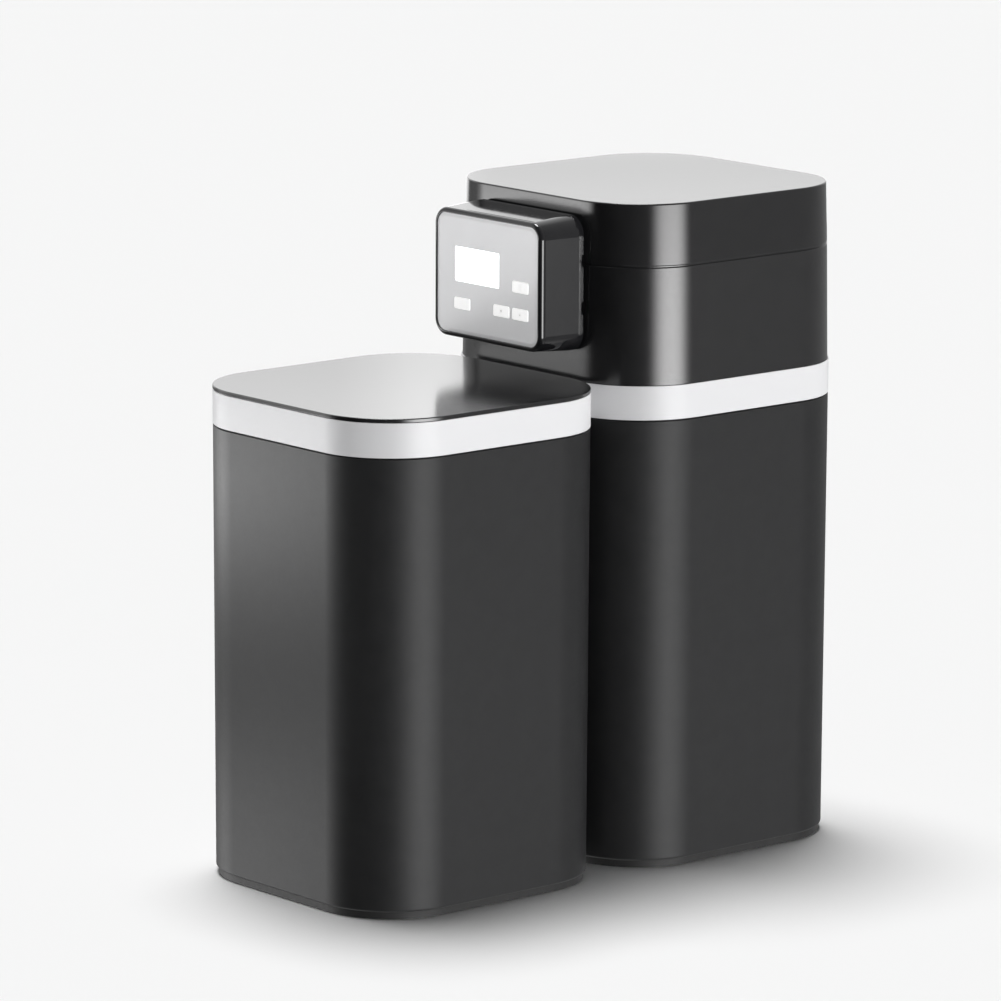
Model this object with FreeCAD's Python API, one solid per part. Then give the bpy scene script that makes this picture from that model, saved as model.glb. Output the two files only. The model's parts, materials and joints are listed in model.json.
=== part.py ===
import FreeCAD, Part
import math
import os

# Water softener in two free-standing cabinets: a low salt cabinet in front and a tall resin cabinet
# behind it, whose display pod overhangs the salt lid. Millimetres, +Z up, displays face -Y, and the
# origin is on the floor at the middle of the pair.

# Cabinet mouldings, shared by both cabinets
cabinet_width = 300.0
cabinet_depth = 300.0
cabinet_gap = 4.0
corner_radius = 81.0
cabinet_wall = 3.0
floor_thickness = 3.0
shoulder_inset = 1.5
body_draft = 1.3
plinth_height = 7.0
plinth_setback = 3.0
plinth_wall = 3.0
plinth_ribs = 2
band_height = 32.5
band_thickness = 2.0
band_clearance = 0.1

# Salt cabinet
lid_thickness = 4.0
lid_skin = 2.5
lid_edge_round = 1.0
lip_depth = 12.0
lip_thickness = 2.0
lip_clearance = 0.4
lid_rib_thickness = 1.6
lid_rib_height = 5.0
seat_gap = 0.2
grid_height = 80.0
grid_thickness = 4.0
grid_clearance = 2.0
grid_slot_width = 7.0
grid_slot_length = 40.0
grid_slot_pitch = 17.0
grid_slot_rows = 4
leg_radius = 12.0
leg_wall = 2.5
well_radius = 44.0
well_wall = 2.5
well_margin = 24.0
well_corner_margin = 11.0
well_headroom = 14.0
well_slot_width = 6.0
well_slot_height = 45.0
overflow_radius = 8.0
overflow_drop = 42.0
overflow_offset = 30.0

# Brine valve, float and air check
line_drop = 61.0
line_socket = 14.0
line_stub = 9.0
line_radius = 4.75
line_wall = 1.2
line_bend = 40.0
line_fit = 0.15
bush_wall = 1.5
bush_flange = 1.0
bush_rim = 3.0
nut_margin = 4.0
nut_thickness = 6.0
brine_valve_radius = 15.0
brine_valve_height = 34.0
riser_offset = 14.0
rod_offset = 12.0
rod_radius = 2.0
rod_fit = 0.08
rod_tail = 12.0
rod_collar = 2.0
rod_headroom = 0.5
float_radius = 17.0
float_height = 46.0
float_level = 0.55
float_travel = 20.0
check_radius = 13.0
check_height = 52.0
check_wall = 2.5
check_lift = 4.0
check_socket = 8.0
ball_radius = 8.5
ball_travel = 6.0

# Pressure vessel and its filling
boot_clearance = 10.4
vessel_height = 430.0
vessel_wall = 4.0
vessel_knuckle = 55.0
vessel_knuckle_angle = 65.0
vessel_foot_round = 60.0
neck_radius = 50.0
neck_height = 14.0
neck_bore = 36.0
boot_wall = 5.0
boot_base = 4.0
boot_height = 52.0
rim_over_neck = 22.0
media_share = 0.62
media_gap = 0.3
tube_radius = 13.4
tube_wall = 2.0
tube_socket = 12.0
basket_radius = 28.0
basket_height = 90.0
basket_slots = 10
basket_slot_width = 2.5
upper_basket_height = 40.0

# Control valve
boss_depth = 20.0
thread_clearance = 0.3
flange_radius = 50.0
flange_height = 8.0
oring_section = 1.5
chamber_radius = 46.0
chamber_height = 88.0
chamber_bore = 40.0
chamber_bore_depth = 34.0
cap_flange_radius = 56.0
cap_flange_height = 8.0
cap_height = 12.0
cap_screws_count = 6
cap_screw_radius = 2.5
disc_radius = 37.5
disc_thickness = 8.0
disc_ports = 6
disc_port_radius = 7.0
disc_port_circle = 24.0
spindle_radius = 12.0
drive_thickness = 6.0
running_fit = 0.05
port_pitch = 100.0
port_level = 56.0
port_thread_radius = 16.62
port_thread_length = 18.0
port_bore = 12.5
port_collar_radius = 21.0
port_collar_length = 8.0
port_pipe_radius = 18.5
port_recess = 6.5
drain_level = 84.0
drain_thread_radius = 10.48
drain_thread_length = 14.0
drain_bore = 7.0
drain_pipe_radius = 10.0
injector_width = 56.0
injector_height = 42.0
injector_margin = 16.0
inlet_margin = 5.5
injector_cap_thickness = 4.0
nozzle_radius = 4.0
nozzle_length = 22.0
elbow_radius = 9.0
elbow_leg = 16.0
elbow_reach = 49.0
elbow_socket = 6.0
stub_radius = 8.0
meter_length = 10.0
meter_blades = 5
meter_tip_clearance = 1.0
meter_depth = 22.0

# Gear drive
plate_thickness = 3.0
disc_module = 2.0
disc_teeth = 42
small_teeth = 14
motor_module = 1.5
large_teeth = 32
pinion_teeth = 12
pressure_angle = 20.0
gear_backlash = 0.22
disc_gear_width = 9.0
large_gear_width = 5.0
gear_lift = 2.0
gear_step = 0.8
axle_radius = 2.5
motor_radius = 17.0
motor_height = 40.0
motor_direction = 210.0
magnet_radius = 3.0
magnet_inset = 3.6
disc_rim = 6.0
disc_hub = 3.0
board_lift = 5.0
board_thickness = 1.6
board_hub_margin = 3.0
plug_width = 18.0
plug_depth = 10.0
plug_height = 8.0
plug_place = 39.0
post_radius = 3.5
post_reach = 52.0

# Covers of the resin cabinet
cover_inset = 1.3
cover_draft = 1.8
cover_height = 113.0
cover_wall = 3.0
cover_lip_depth = 10.0
cover_ledge_margin = 1.0
top_height = 59.0
top_draft = 1.6
top_edge_round = 1.2
top_rib_height = 8.0
seam_rebate = 1.2
seam_height = 1.0
bay_width = 156.0
bay_bottom = 6.0
bay_height = 74.0
bay_corner = 10.0
gland_offset = 48.0
gland_level = 8.0
gland_radius = 3.5
gland_wall = 2.5

# Display pod
pod_width = 156.0
pod_height = 123.0
pod_corner = 16.0
pod_depth = 51.0
pod_flare = 3.0
pod_wall = 2.5
pod_drop = 12.5
pod_standoff = 0.3
bezel_depth = 6.0
bezel_border = 4.6
bezel_edge_round = 4.0
bezel_ledge = 2.5
back_depth = 6.0
back_skin = 2.5
back_notch_length = 13.0
back_notch_pitch = 45.0
fascia_corner = 12.0
fascia_recess = 0.5
fascia_thickness = 1.5
fascia_bevel = 3.2
fascia_bevel_drop = 0.4
panel_gap = 0.15
window_width = 64.0
window_height = 33.5
window_offset_x = -14.7
window_offset_z = 9.8
lcd_border = 4.0
lcd_thickness = 5.5
key_width = 22.5
key_height = 10.8
key_corner = 1.5
key_proud = 0.5
key_travel = 0.6
key_flange = 1.5
key_flange_thickness = 1.0
key_stem_radius = 2.0
key_column_inset = 29.75
key_pitch = 27.35
key_row_lift = 33.65
menu_drop = 11.7
regenerate_inset = 41.7
board_setback = 11.0
switch_size = 6.0
switch_height = 4.0
board_margin = 3.0
head_plug_width = 24.0
head_plug_height = 8.0
head_plug_depth = 9.0
head_plug_lift = 24.0
boss_radius = 4.0
pod_screw_radius = 1.6
pod_screw_depth = 12.0
pod_screw_head = 2.0
boss_inset_x = 2.5
boss_inset_z = 8.0
duct_width = 68.0
duct_height = 34.0
duct_wall = 2.5
duct_clearance = 2.0
duct_overlap = 26.0
gusset_thickness = 2.4
gusset_border = 8.0
duct_setback = 3.0

# Key faces, from the pod's centre: one key under the display's left part, and three in the right columns
key_column_x = pod_width / 2 - key_column_inset
key_row_z = key_row_lift - pod_height / 2
key_places = {
    "regenerate_key": (regenerate_inset - pod_width / 2, key_row_z),
    "menu_key": (key_column_x, window_offset_z - menu_drop),
    "down_key": (key_column_x - key_pitch, key_row_z),
    "up_key": (key_column_x, key_row_z),
}

# Levels and places that follow from the sizes
half_width = cabinet_width / 2
half_depth = cabinet_depth / 2
salt_y = -(cabinet_depth + cabinet_gap) / 2
resin_y = (cabinet_depth + cabinet_gap) / 2
foot_inset = shoulder_inset + body_draft
neck_inset = band_thickness + band_clearance
inner_floor_inset = foot_inset + cabinet_wall
inner_rim_inset = neck_inset + cabinet_wall
cabinet_floor = plinth_height + floor_thickness
vessel_radius = min(half_width, half_depth) - inner_floor_inset - boot_clearance - boot_wall - media_gap
vessel_base = cabinet_floor + boot_base
neck_top = vessel_base + vessel_height
rim_z = neck_top + rim_over_neck
band_bottom = rim_z - band_height
seam_z = rim_z + cover_height
top_z = seam_z + top_height
cover_front = resin_y - half_depth + cover_inset
seam_inset = cover_inset + cover_draft
top_inset = seam_inset + top_draft
lip_inset = inner_rim_inset + lip_clearance

well_x = half_width - corner_radius - well_corner_margin
well_y = salt_y + half_depth - inner_rim_inset - well_radius - well_margin
well_top = rim_z - well_headroom
line_z = rim_z - line_drop
line_x = well_x
injector_front_y = resin_y - injector_width / 2
line_up_y = injector_front_y - elbow_reach
line_turn_y = line_up_y - line_bend

overflow_z = band_bottom - overflow_drop
line_start_y = well_y + well_radius - line_socket
stub_end_y = well_y + well_radius + line_stub
valve_low = line_z - brine_valve_height / 2
valve_high = line_z + brine_valve_height / 2
check_base = cabinet_floor + check_lift
check_top = check_base + check_height
riser_x = well_x - riser_offset
rod_x = well_x + rod_offset
float_base = cabinet_floor + (valve_low - cabinet_floor) * float_level

basket_base = vessel_base + vessel_wall
oring_radius = (neck_bore + neck_radius) / 2
flange_top = neck_top + flange_height
port_z = neck_top + port_level
drain_z = neck_top + drain_level
chamber_top = flange_top + chamber_height
cap_top = chamber_top + cap_height
fixed_disc_base = chamber_top - chamber_bore_depth
moving_disc_base = fixed_disc_base + disc_thickness + running_fit
spindle_base = moving_disc_base + disc_thickness
screw_circle = cap_flange_radius - 5.0
inlet_side_x = port_pitch / 2 + port_pipe_radius
injector_block_x = max(line_x + injector_margin, inlet_side_x + inlet_margin)
elbow_low_z = port_z - elbow_leg
plate_top = cap_top + plate_thickness
disc_gear_base = plate_top + gear_lift
disc_gear_top = disc_gear_base + disc_gear_width
large_gear_base = disc_gear_top + gear_step
large_gear_top = large_gear_base + large_gear_width
idler_distance = disc_module * (disc_teeth + small_teeth) / 2
pinion_distance = motor_module * (large_teeth + pinion_teeth) / 2
idler_x = 0.0
idler_y = resin_y - idler_distance
motor_x = idler_x + pinion_distance * math.cos(math.radians(motor_direction))
motor_y = idler_y + pinion_distance * math.sin(math.radians(motor_direction))
board_base = large_gear_top + board_lift
large_tip = motor_module * (large_teeth / 2 + 1)
pinion_tip = motor_module * (pinion_teeth / 2 + 1)
port_end_y = resin_y + half_depth - cover_inset - port_recess
meter_y = port_end_y - meter_depth
gland_z = rim_z + bay_bottom + bay_height + gland_level + gland_radius

duct_rear_y = min(idler_y - large_tip, motor_y - pinion_tip) - duct_setback
duct_base = plate_top
duct_middle = duct_base + duct_height / 2
pod_z = duct_middle - pod_drop
pod_back_y = cover_front - pod_standoff
pod_front_y = pod_back_y - pod_depth
housing_front_y = pod_front_y + bezel_depth
housing_back_y = pod_back_y - back_depth
fascia_front_y = pod_front_y + fascia_recess
fascia_back_y = fascia_front_y + fascia_thickness
flange_front_y = fascia_back_y + panel_gap
flange_back_y = flange_front_y + key_flange_thickness
board_front_y = pod_front_y + board_setback
switch_front_y = board_front_y - switch_height
stem_end_y = switch_front_y - key_travel - panel_gap


def vec(x, y, z):
    return FreeCAD.Vector(x, y, z)


def box(x0, x1, y0, y1, z0, z1):
    return Part.makeBox(x1 - x0, y1 - y0, z1 - z0, vec(x0, y0, z0))


def post(radius, x, y, z0, z1):
    return Part.makeCylinder(radius, z1 - z0, vec(x, y, z0), vec(0, 0, 1))


def pipe_y(radius, x, z, y0, y1):
    return Part.makeCylinder(radius, y1 - y0, vec(x, y0, z), vec(0, 1, 0))


def sleeve(outer, inner, x, y, z0, z1):
    return post(outer, x, y, z0, z1).cut(post(inner, x, y, z0 - 1, z1 + 1))


def joined(shapes):
    body = shapes[0].multiFuse(shapes[1:])
    return body.removeSplitter()


def arc_edge(cx, cy, radius, start, end, z):
    points = []
    for angle in (start, (start + end) / 2, end):
        turn = math.radians(angle)
        points.append(vec(cx + radius * math.cos(turn), cy + radius * math.sin(turn), z))
    return Part.Arc(*points).toShape()


def line_edge(x0, y0, x1, y1, z):
    return Part.LineSegment(vec(x0, y0, z), vec(x1, y1, z)).toShape()


def rounded_wire(half_x, half_y, radius, z, centre_y=0.0):
    """A rectangle with round corners, level at z."""
    ax = half_x - radius
    ay = half_y - radius
    edges = [
        line_edge(half_x, centre_y - ay, half_x, centre_y + ay, z),
        arc_edge(ax, centre_y + ay, radius, 0, 90, z),
        line_edge(ax, centre_y + half_y, -ax, centre_y + half_y, z),
        arc_edge(-ax, centre_y + ay, radius, 90, 180, z),
        line_edge(-half_x, centre_y + ay, -half_x, centre_y - ay, z),
        arc_edge(-ax, centre_y - ay, radius, 180, 270, z),
        line_edge(-ax, centre_y - half_y, ax, centre_y - half_y, z),
        arc_edge(ax, centre_y - ay, radius, 270, 360, z),
    ]
    return Part.Wire(edges)


def cabinet_wire(inset, z, centre_y):
    """The outline of a cabinet, drawn in by inset from its band."""
    return rounded_wire(half_width - inset, half_depth - inset, corner_radius - inset, z, centre_y)


def cabinet_solid(low_inset, high_inset, z0, z1, centre_y):
    low = cabinet_wire(low_inset, z0, centre_y)
    high = cabinet_wire(high_inset, z1, centre_y)
    return Part.makeLoft([low, high], True, True)


def cabinet_ring(outer_inset, inner_inset, z0, z1, centre_y):
    outer = cabinet_solid(outer_inset, outer_inset, z0, z1, centre_y)
    return outer.cut(cabinet_solid(inner_inset, inner_inset, z0 - 1, z1 + 1, centre_y))


def edges_at(shape, z):
    found = []
    for edge in shape.Edges:
        limits = edge.BoundBox
        if abs(limits.ZMin - z) < 1e-4 and abs(limits.ZMax - z) < 1e-4:
            found.append(edge)
    return found


def pod_wire(half_x, half_z, radius, y):
    """A round-cornered rectangle that faces -Y, about the pod's centre."""
    wire = rounded_wire(half_x, half_z, radius, -y)
    wire.rotate(vec(0, 0, 0), vec(1, 0, 0), 90)
    wire.translate(vec(0, 0, pod_z))
    return wire


def pod_solid(half_x, half_z, radius, y0, y1, grow=0.0):
    front = pod_wire(half_x, half_z, radius, y0)
    back = pod_wire(half_x + grow, half_z + grow, radius + grow, y1)
    return Part.makeLoft([front, back], True, True)


def panel(width, height, radius, x, dz, y0, y1):
    """A round-cornered plate on the pod, x and dz from the pod's centre."""
    plate = pod_solid(width / 2, height / 2, radius, y0, y1)
    plate.translate(vec(x, 0, dz))
    return plate


def cabinet_body(centre_y):
    """The hollow lower moulding: drafted walls, a floor, and a neck that the band goes round."""
    walls = cabinet_solid(foot_inset, shoulder_inset, plinth_height, band_bottom, centre_y)
    neck = cabinet_solid(neck_inset, neck_inset, band_bottom, rim_z, centre_y)
    hollow = cabinet_solid(inner_floor_inset, inner_rim_inset, cabinet_floor, rim_z, centre_y)
    return walls.fuse(neck).cut(hollow)


def line_hole():
    reach = half_depth / 2
    return pipe_y(line_radius + line_fit + bush_wall, line_x, line_z, -reach, reach)


def brine_tank():
    start = vec(-half_width, salt_y + overflow_offset, overflow_z)
    overflow = Part.makeCylinder(overflow_radius + gland_wall, half_width, start, vec(1, 0, 0))
    return cabinet_body(salt_y).cut(line_hole()).cut(overflow)


def wall_face_x(z):
    """Outer half width of the drafted wall at height z."""
    share = (z - plinth_height) / (band_bottom - plinth_height)
    return half_width - foot_inset + body_draft * share


def inner_face(half_size, z):
    """Inner half size of the drafted wall at height z, for a half width or a half depth."""
    share = (z - cabinet_floor) / (rim_z - cabinet_floor)
    return half_size - inner_floor_inset + (inner_floor_inset - inner_rim_inset) * share


def overflow_grommet():
    """A rubber bush for the overflow elbow, in the side wall that faces away from the display's keys."""
    level = overflow_z
    outside = wall_face_x(level)
    inside = inner_face(half_width, level)
    centre_y = salt_y + overflow_offset
    flange = 1.0
    play = 0.1
    axis = vec(1, 0, 0)
    length = outside - inside + 2 * flange
    body = Part.makeCylinder(overflow_radius + gland_wall - play, length, vec(-outside - flange, centre_y, level), axis)
    rim = overflow_radius + gland_wall + 3.0
    outer = Part.makeCylinder(rim, flange - play, vec(-outside - flange, centre_y, level), axis)
    inner = Part.makeCylinder(rim, flange - play, vec(-inside + play, centre_y, level), axis)
    bore = Part.makeCylinder(overflow_radius, outside, vec(-outside - 2 * flange, centre_y, level), axis)
    return joined([body, outer, inner]).cut(bore)


def plinth(centre_y):
    """A tray that stands on its rim and on crossed ribs, set back under the cabinet."""
    inset = foot_inset + plinth_setback
    block = cabinet_solid(inset, inset, 0, plinth_height, centre_y)
    under = cabinet_solid(inset + plinth_wall, inset + plinth_wall, -1, plinth_height - plinth_wall, centre_y)
    tray = block.cut(under)
    ribs = []
    for index in range(plinth_ribs):
        offset = (index + 1) / (plinth_ribs + 1) - 0.5
        x = offset * cabinet_width
        y = centre_y + offset * cabinet_depth
        top = plinth_height - plinth_wall / 2
        half = plinth_wall / 2
        ribs.append(box(x - half, x + half, centre_y - half_depth, centre_y + half_depth, 0, top))
        ribs.append(box(-half_width, half_width, y - half, y + half, 0, top))
    grid = joined(ribs).common(block)
    return joined([tray, grid])


def band(centre_y):
    return cabinet_ring(0, band_thickness, band_bottom, rim_z, centre_y)


def brine_lid():
    """A loose lid with a locating lip and crossed stiffening ribs."""
    base = rim_z + seat_gap
    top = rim_z + lid_thickness
    plate = cabinet_solid(0, 0, base, top, salt_y)
    plate = plate.makeFillet(lid_edge_round, edges_at(plate, top))
    pocket = cabinet_solid(lip_inset, lip_inset, base - 1, top - lid_skin, salt_y)
    lip = cabinet_ring(lip_inset, lip_inset + lip_thickness, rim_z - lip_depth, top - lid_skin, salt_y)
    inside = cabinet_solid(lip_inset, lip_inset, rim_z - lip_depth, top, salt_y)
    half_rib = lid_rib_thickness / 2
    rib_base = top - lid_skin - lid_rib_height
    ribs = [
        box(-half_rib, half_rib, salt_y - half_depth, salt_y + half_depth, rib_base, top - lid_skin),
        box(-half_width, half_width, salt_y - half_rib, salt_y + half_rib, rib_base, top - lid_skin),
    ]
    grid = joined(ribs).common(inside)
    return joined([plate.cut(pocket), lip, grid])


def grid_inset():
    level = cabinet_floor + grid_height
    return half_width - inner_face(half_width, level) + grid_clearance


def salt_grid():
    """The slotted plate that keeps the salt above the brine, on hollow legs."""
    base = cabinet_floor + grid_height - grid_thickness
    top = cabinet_floor + grid_height
    plate = cabinet_solid(grid_inset(), grid_inset(), base, top, salt_y)
    plate = plate.cut(post(well_radius + grid_clearance, well_x, well_y, base - 1, top + 1))
    keep_off = post(well_radius + grid_clearance + grid_slot_width, well_x, well_y, base - 1, top + 1)
    leg_x = half_width - grid_inset() - corner_radius / 2
    leg_y = half_depth - grid_inset() - corner_radius / 2
    leg_places = [(-leg_x, salt_y - leg_y), (leg_x, salt_y - leg_y), (-leg_x, salt_y + leg_y), (0, salt_y)]
    slots = []
    half_span = (half_width + half_depth) / 2 - grid_inset() - corner_radius / 2
    columns = int(half_span / grid_slot_pitch)
    row_pitch = 2 * half_span / grid_slot_rows
    for row in range(grid_slot_rows):
        y = salt_y + (row + 0.5) * row_pitch - half_span
        for column in range(-columns, columns + 1):
            x = column * grid_slot_pitch
            slot = box(
                x - grid_slot_width / 2,
                x + grid_slot_width / 2,
                y - grid_slot_length / 2,
                y + grid_slot_length / 2,
                base - 1,
                top + 1,
            )
            near_leg = any(
                abs(x - lx) < leg_radius + grid_slot_width and abs(y - ly) < leg_radius + grid_slot_length / 2
                for lx, ly in leg_places
            )
            if not near_leg and slot.distToShape(keep_off)[0] > 0:
                slots.append(slot)
    plate = plate.cut(Part.makeCompound(slots))
    legs = [sleeve(leg_radius, leg_radius - leg_wall, x, y, cabinet_floor, base) for x, y in leg_places]
    return joined([plate] + legs)


def brine_well():
    """The upright tube that holds the brine valve, slotted at its foot."""
    tube = sleeve(well_radius, well_radius - well_wall, well_x, well_y, cabinet_floor, well_top)
    low = cabinet_floor + grid_thickness
    cuts = [
        box(
            well_x - well_radius - 1,
            well_x + well_radius + 1,
            well_y - well_slot_width / 2,
            well_y + well_slot_width / 2,
            low,
            low + well_slot_height,
        ),
        box(
            well_x - well_slot_width / 2,
            well_x + well_slot_width / 2,
            well_y - well_radius - 1,
            well_y + well_radius + 1,
            low,
            low + well_slot_height,
        ),
        pipe_y(stub_radius + line_fit, well_x, line_z, well_y, well_y + well_radius + 5),
    ]
    return tube.cut(Part.makeCompound(cuts[:1])).cut(cuts[1]).cut(cuts[2])


def well_cap():
    skirt = 8.0
    play = 0.2
    wall = 1.8
    disc = post(well_radius + play + wall, well_x, well_y, well_top - skirt, well_top + wall)
    return disc.cut(post(well_radius + play, well_x, well_y, well_top - skirt - 1, well_top))


def brine_valve():
    """Safety valve body: suction tube below, float rod guide beside it, line socket towards the head."""
    body = post(brine_valve_radius + rod_offset / 2, well_x, well_y, valve_low, valve_high)
    stub = pipe_y(stub_radius, well_x, line_z, well_y, stub_end_y)
    guide = post(rod_radius + rod_fit, rod_x, well_y, valve_low - 1, valve_high - cabinet_wall)
    socket = pipe_y(line_radius + line_fit / 2, well_x, line_z, line_start_y, stub_end_y + 1)
    suction = post(line_radius + line_fit / 2, riser_x, well_y, valve_low - 1, valve_low + line_radius * 2)
    return joined([body, stub]).cut(guide).cut(socket).cut(suction)


def valve_nut():
    """The hexagon nut that clamps the brine valve's stub to the well."""
    across = (stub_radius + nut_margin) * 2
    circum = across / math.sqrt(3)
    y0 = well_y + well_radius + 0.1
    corners = []
    for index in range(7):
        turn = math.radians(60 * index)
        corners.append(vec(well_x + circum * math.cos(turn), y0, line_z + circum * math.sin(turn)))
    hexagon = Part.Face(Part.Wire(Part.makePolygon(corners))).extrude(vec(0, nut_thickness, 0))
    bore = pipe_y(stub_radius + line_fit / 2, well_x, line_z, y0 - 1, y0 + nut_thickness + 1)
    return hexagon.cut(bore)


def brine_riser():
    low = check_top - check_socket
    high = valve_low + line_radius * 2
    return sleeve(line_radius, line_radius - line_wall, riser_x, well_y, low, high)


def air_check_cage():
    """The cage at the riser's foot, with a ball chamber and inlet windows."""
    shell = post(check_radius, riser_x, well_y, check_base, check_top)
    low = check_base + check_wall
    chamber = post(ball_radius + 0.5, riser_x, well_y, low, low + 2 * ball_radius + ball_travel + 1)
    socket = post(line_radius + line_fit / 2, riser_x, well_y, check_top - check_socket, check_top + 1)
    passage = post(line_radius - line_wall, riser_x, well_y, low, check_top)
    window = check_radius + 1
    high = low + ball_radius * 1.5
    half = ball_radius / 2
    slot = box(riser_x - window, riser_x + window, well_y - half, well_y + half, low, high)
    foot = post(check_radius - check_wall, riser_x, well_y, cabinet_floor, check_base)
    return joined([shell, foot]).cut(chamber).cut(socket).cut(passage).cut(slot)


def air_check_ball():
    level = check_base + check_wall + ball_radius + 0.2
    return Part.makeSphere(ball_radius, vec(riser_x, well_y, level))


def float_rod():
    """The rod runs in the valve body; its collars carry the float."""
    top = valve_high - cabinet_wall - float_travel - rod_headroom
    rod = post(rod_radius, rod_x, well_y, float_base - rod_tail, top)
    lower = post(rod_radius * 2, rod_x, well_y, float_base - rod_collar, float_base)
    upper_base = float_base + float_height
    upper = post(rod_radius * 2, rod_x, well_y, upper_base, upper_base + rod_collar)
    return joined([rod, lower, upper])


def brine_float():
    top = float_base + float_height
    body = post(float_radius, rod_x, well_y, float_base, top)
    return body.cut(post(rod_radius + rod_fit / 2, rod_x, well_y, float_base - 1, top + 1))


def line_bushes():
    """Two rubber bushes, one in each wall that the brine line passes."""
    solids = []
    for sign, centre_y in ((-1, salt_y), (1, resin_y)):
        outer_face = half_depth - (half_width - wall_face_x(line_z))
        inner = inner_face(half_depth, line_z)
        outer_y = centre_y - sign * outer_face
        inner_y = centre_y - sign * inner
        low, high = sorted((outer_y, inner_y))
        radius = line_radius + line_fit + bush_wall
        body = pipe_y(radius - line_fit, line_x, line_z, low - bush_flange, high + bush_flange)
        first = pipe_y(radius + bush_rim, line_x, line_z, low - bush_flange, low - 0.1)
        second = pipe_y(radius + bush_rim, line_x, line_z, high + 0.1, high + bush_flange)
        bore = pipe_y(line_radius + 0.05, line_x, line_z, low - 5, high + 5)
        solids.append(joined([body, first, second]).cut(bore))
    return Part.makeCompound(solids)


def brine_line():
    """The tube from the brine valve to the head: straight through both walls, then up."""
    start = vec(line_x, line_start_y + 0.2, line_z)
    turn = vec(line_x, line_turn_y, line_z)
    up = vec(line_x, line_up_y, line_z + line_bend)
    end = vec(line_x, line_up_y, elbow_low_z + elbow_socket)
    lean = line_bend * math.sin(math.radians(45))
    middle = vec(line_x, line_turn_y + lean, line_z + line_bend - lean)
    path = Part.Wire(
        [
            Part.LineSegment(start, turn).toShape(),
            Part.Arc(turn, middle, up).toShape(),
            Part.LineSegment(up, end).toShape(),
        ]
    )
    outer = Part.Wire(Part.Circle(start, vec(0, 1, 0), line_radius).toShape())
    inner = Part.Wire(Part.Circle(start, vec(0, 1, 0), line_radius - line_wall).toShape())
    tube = path.makePipeShell([outer], True, False)
    bore = path.makePipeShell([inner], True, False)
    return tube.cut(bore)


def brine_elbow():
    """Elbow between the brine line and the injector block."""
    stub_end = injector_front_y - 0.2
    leg = post(elbow_radius, line_x, line_up_y, elbow_low_z, port_z)
    ball = Part.makeSphere(elbow_radius, vec(line_x, line_up_y, port_z))
    arm = pipe_y(elbow_radius, line_x, port_z, line_up_y, stub_end)
    socket_top = elbow_low_z + elbow_socket + 2 * line_fit
    socket = post(line_radius + line_fit / 2, line_x, line_up_y, elbow_low_z - 1, socket_top)
    bore_down = post(line_radius - line_wall, line_x, line_up_y, elbow_low_z, port_z)
    bore_in = pipe_y(line_radius - line_wall, line_x, port_z, line_up_y, stub_end + 1)
    return joined([leg, ball, arm]).cut(socket).cut(bore_down).cut(bore_in)


def vessel_profile(inset, mouth_radius, top):
    """Half section of the vessel, drawn in by inset, as a face on the XZ plane at the axis."""
    wall_r = vessel_radius - inset
    foot_r = vessel_foot_round - inset
    knuckle = vessel_knuckle - inset
    bottom = vessel_base + inset
    angle = math.radians(vessel_knuckle_angle)
    half = angle / 2
    neck_base = neck_top - neck_height
    fall = (vessel_radius - vessel_knuckle + vessel_knuckle * math.cos(angle) - neck_radius) / math.tan(angle)
    spring_z = neck_base - fall - vessel_knuckle * math.sin(angle)
    centre_r = vessel_radius - vessel_knuckle
    end_r = centre_r + knuckle * math.cos(angle)
    end_z = spring_z + knuckle * math.sin(angle)
    meet_z = end_z + (end_r - mouth_radius) / math.tan(angle)
    foot_centre_r = vessel_radius - vessel_foot_round
    foot_centre_z = vessel_base + vessel_foot_round
    slope = math.radians(45)
    points = [
        vec(0, 0, bottom),
        vec(foot_centre_r, 0, bottom),
        vec(wall_r, 0, foot_centre_z),
        vec(wall_r, 0, spring_z),
        vec(end_r, 0, end_z),
        vec(mouth_radius, 0, meet_z),
        vec(mouth_radius, 0, top),
        vec(0, 0, top),
    ]
    foot_mid = vec(foot_centre_r + foot_r * math.sin(slope), 0, foot_centre_z - foot_r * math.cos(slope))
    knuckle_mid = vec(centre_r + knuckle * math.cos(half), 0, spring_z + knuckle * math.sin(half))
    edges = [
        Part.LineSegment(points[0], points[1]).toShape(),
        Part.Arc(points[1], foot_mid, points[2]).toShape(),
        Part.LineSegment(points[2], points[3]).toShape(),
        Part.Arc(points[3], knuckle_mid, points[4]).toShape(),
        Part.LineSegment(points[4], points[5]).toShape(),
        Part.LineSegment(points[5], points[6]).toShape(),
        Part.LineSegment(points[6], points[7]).toShape(),
        Part.LineSegment(points[7], points[0]).toShape(),
    ]
    return Part.Face(Part.Wire(edges))


def vessel_solid(inset, mouth_radius, top):
    solid = vessel_profile(inset, mouth_radius, top).revolve(vec(0, 0, 0), vec(0, 0, 1), 360)
    solid.translate(vec(0, resin_y, 0))
    return solid


def pressure_vessel():
    return vessel_solid(0, neck_radius, neck_top).cut(vessel_solid(vessel_wall, neck_bore, neck_top))


def vessel_boot():
    outer = vessel_radius + media_gap + boot_wall
    top = cabinet_floor + boot_height
    cup = post(outer, 0, resin_y, cabinet_floor, top)
    return cup.cut(post(vessel_radius + media_gap, 0, resin_y, vessel_base, top + 1))


def resin_bed():
    """The exchange resin, level in the vessel, round the riser and its strainer."""
    level = vessel_base + vessel_wall + vessel_height * media_share
    fill = vessel_solid(vessel_wall + media_gap, neck_bore - media_gap, neck_top)
    fill = fill.common(post(vessel_radius, 0, resin_y, vessel_base, level))
    base = basket_base
    strainer = post(basket_radius + media_gap, 0, resin_y, vessel_base, base + basket_height + media_gap)
    return fill.cut(strainer).cut(post(tube_radius + media_gap, 0, resin_y, base, level + 1))


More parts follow.
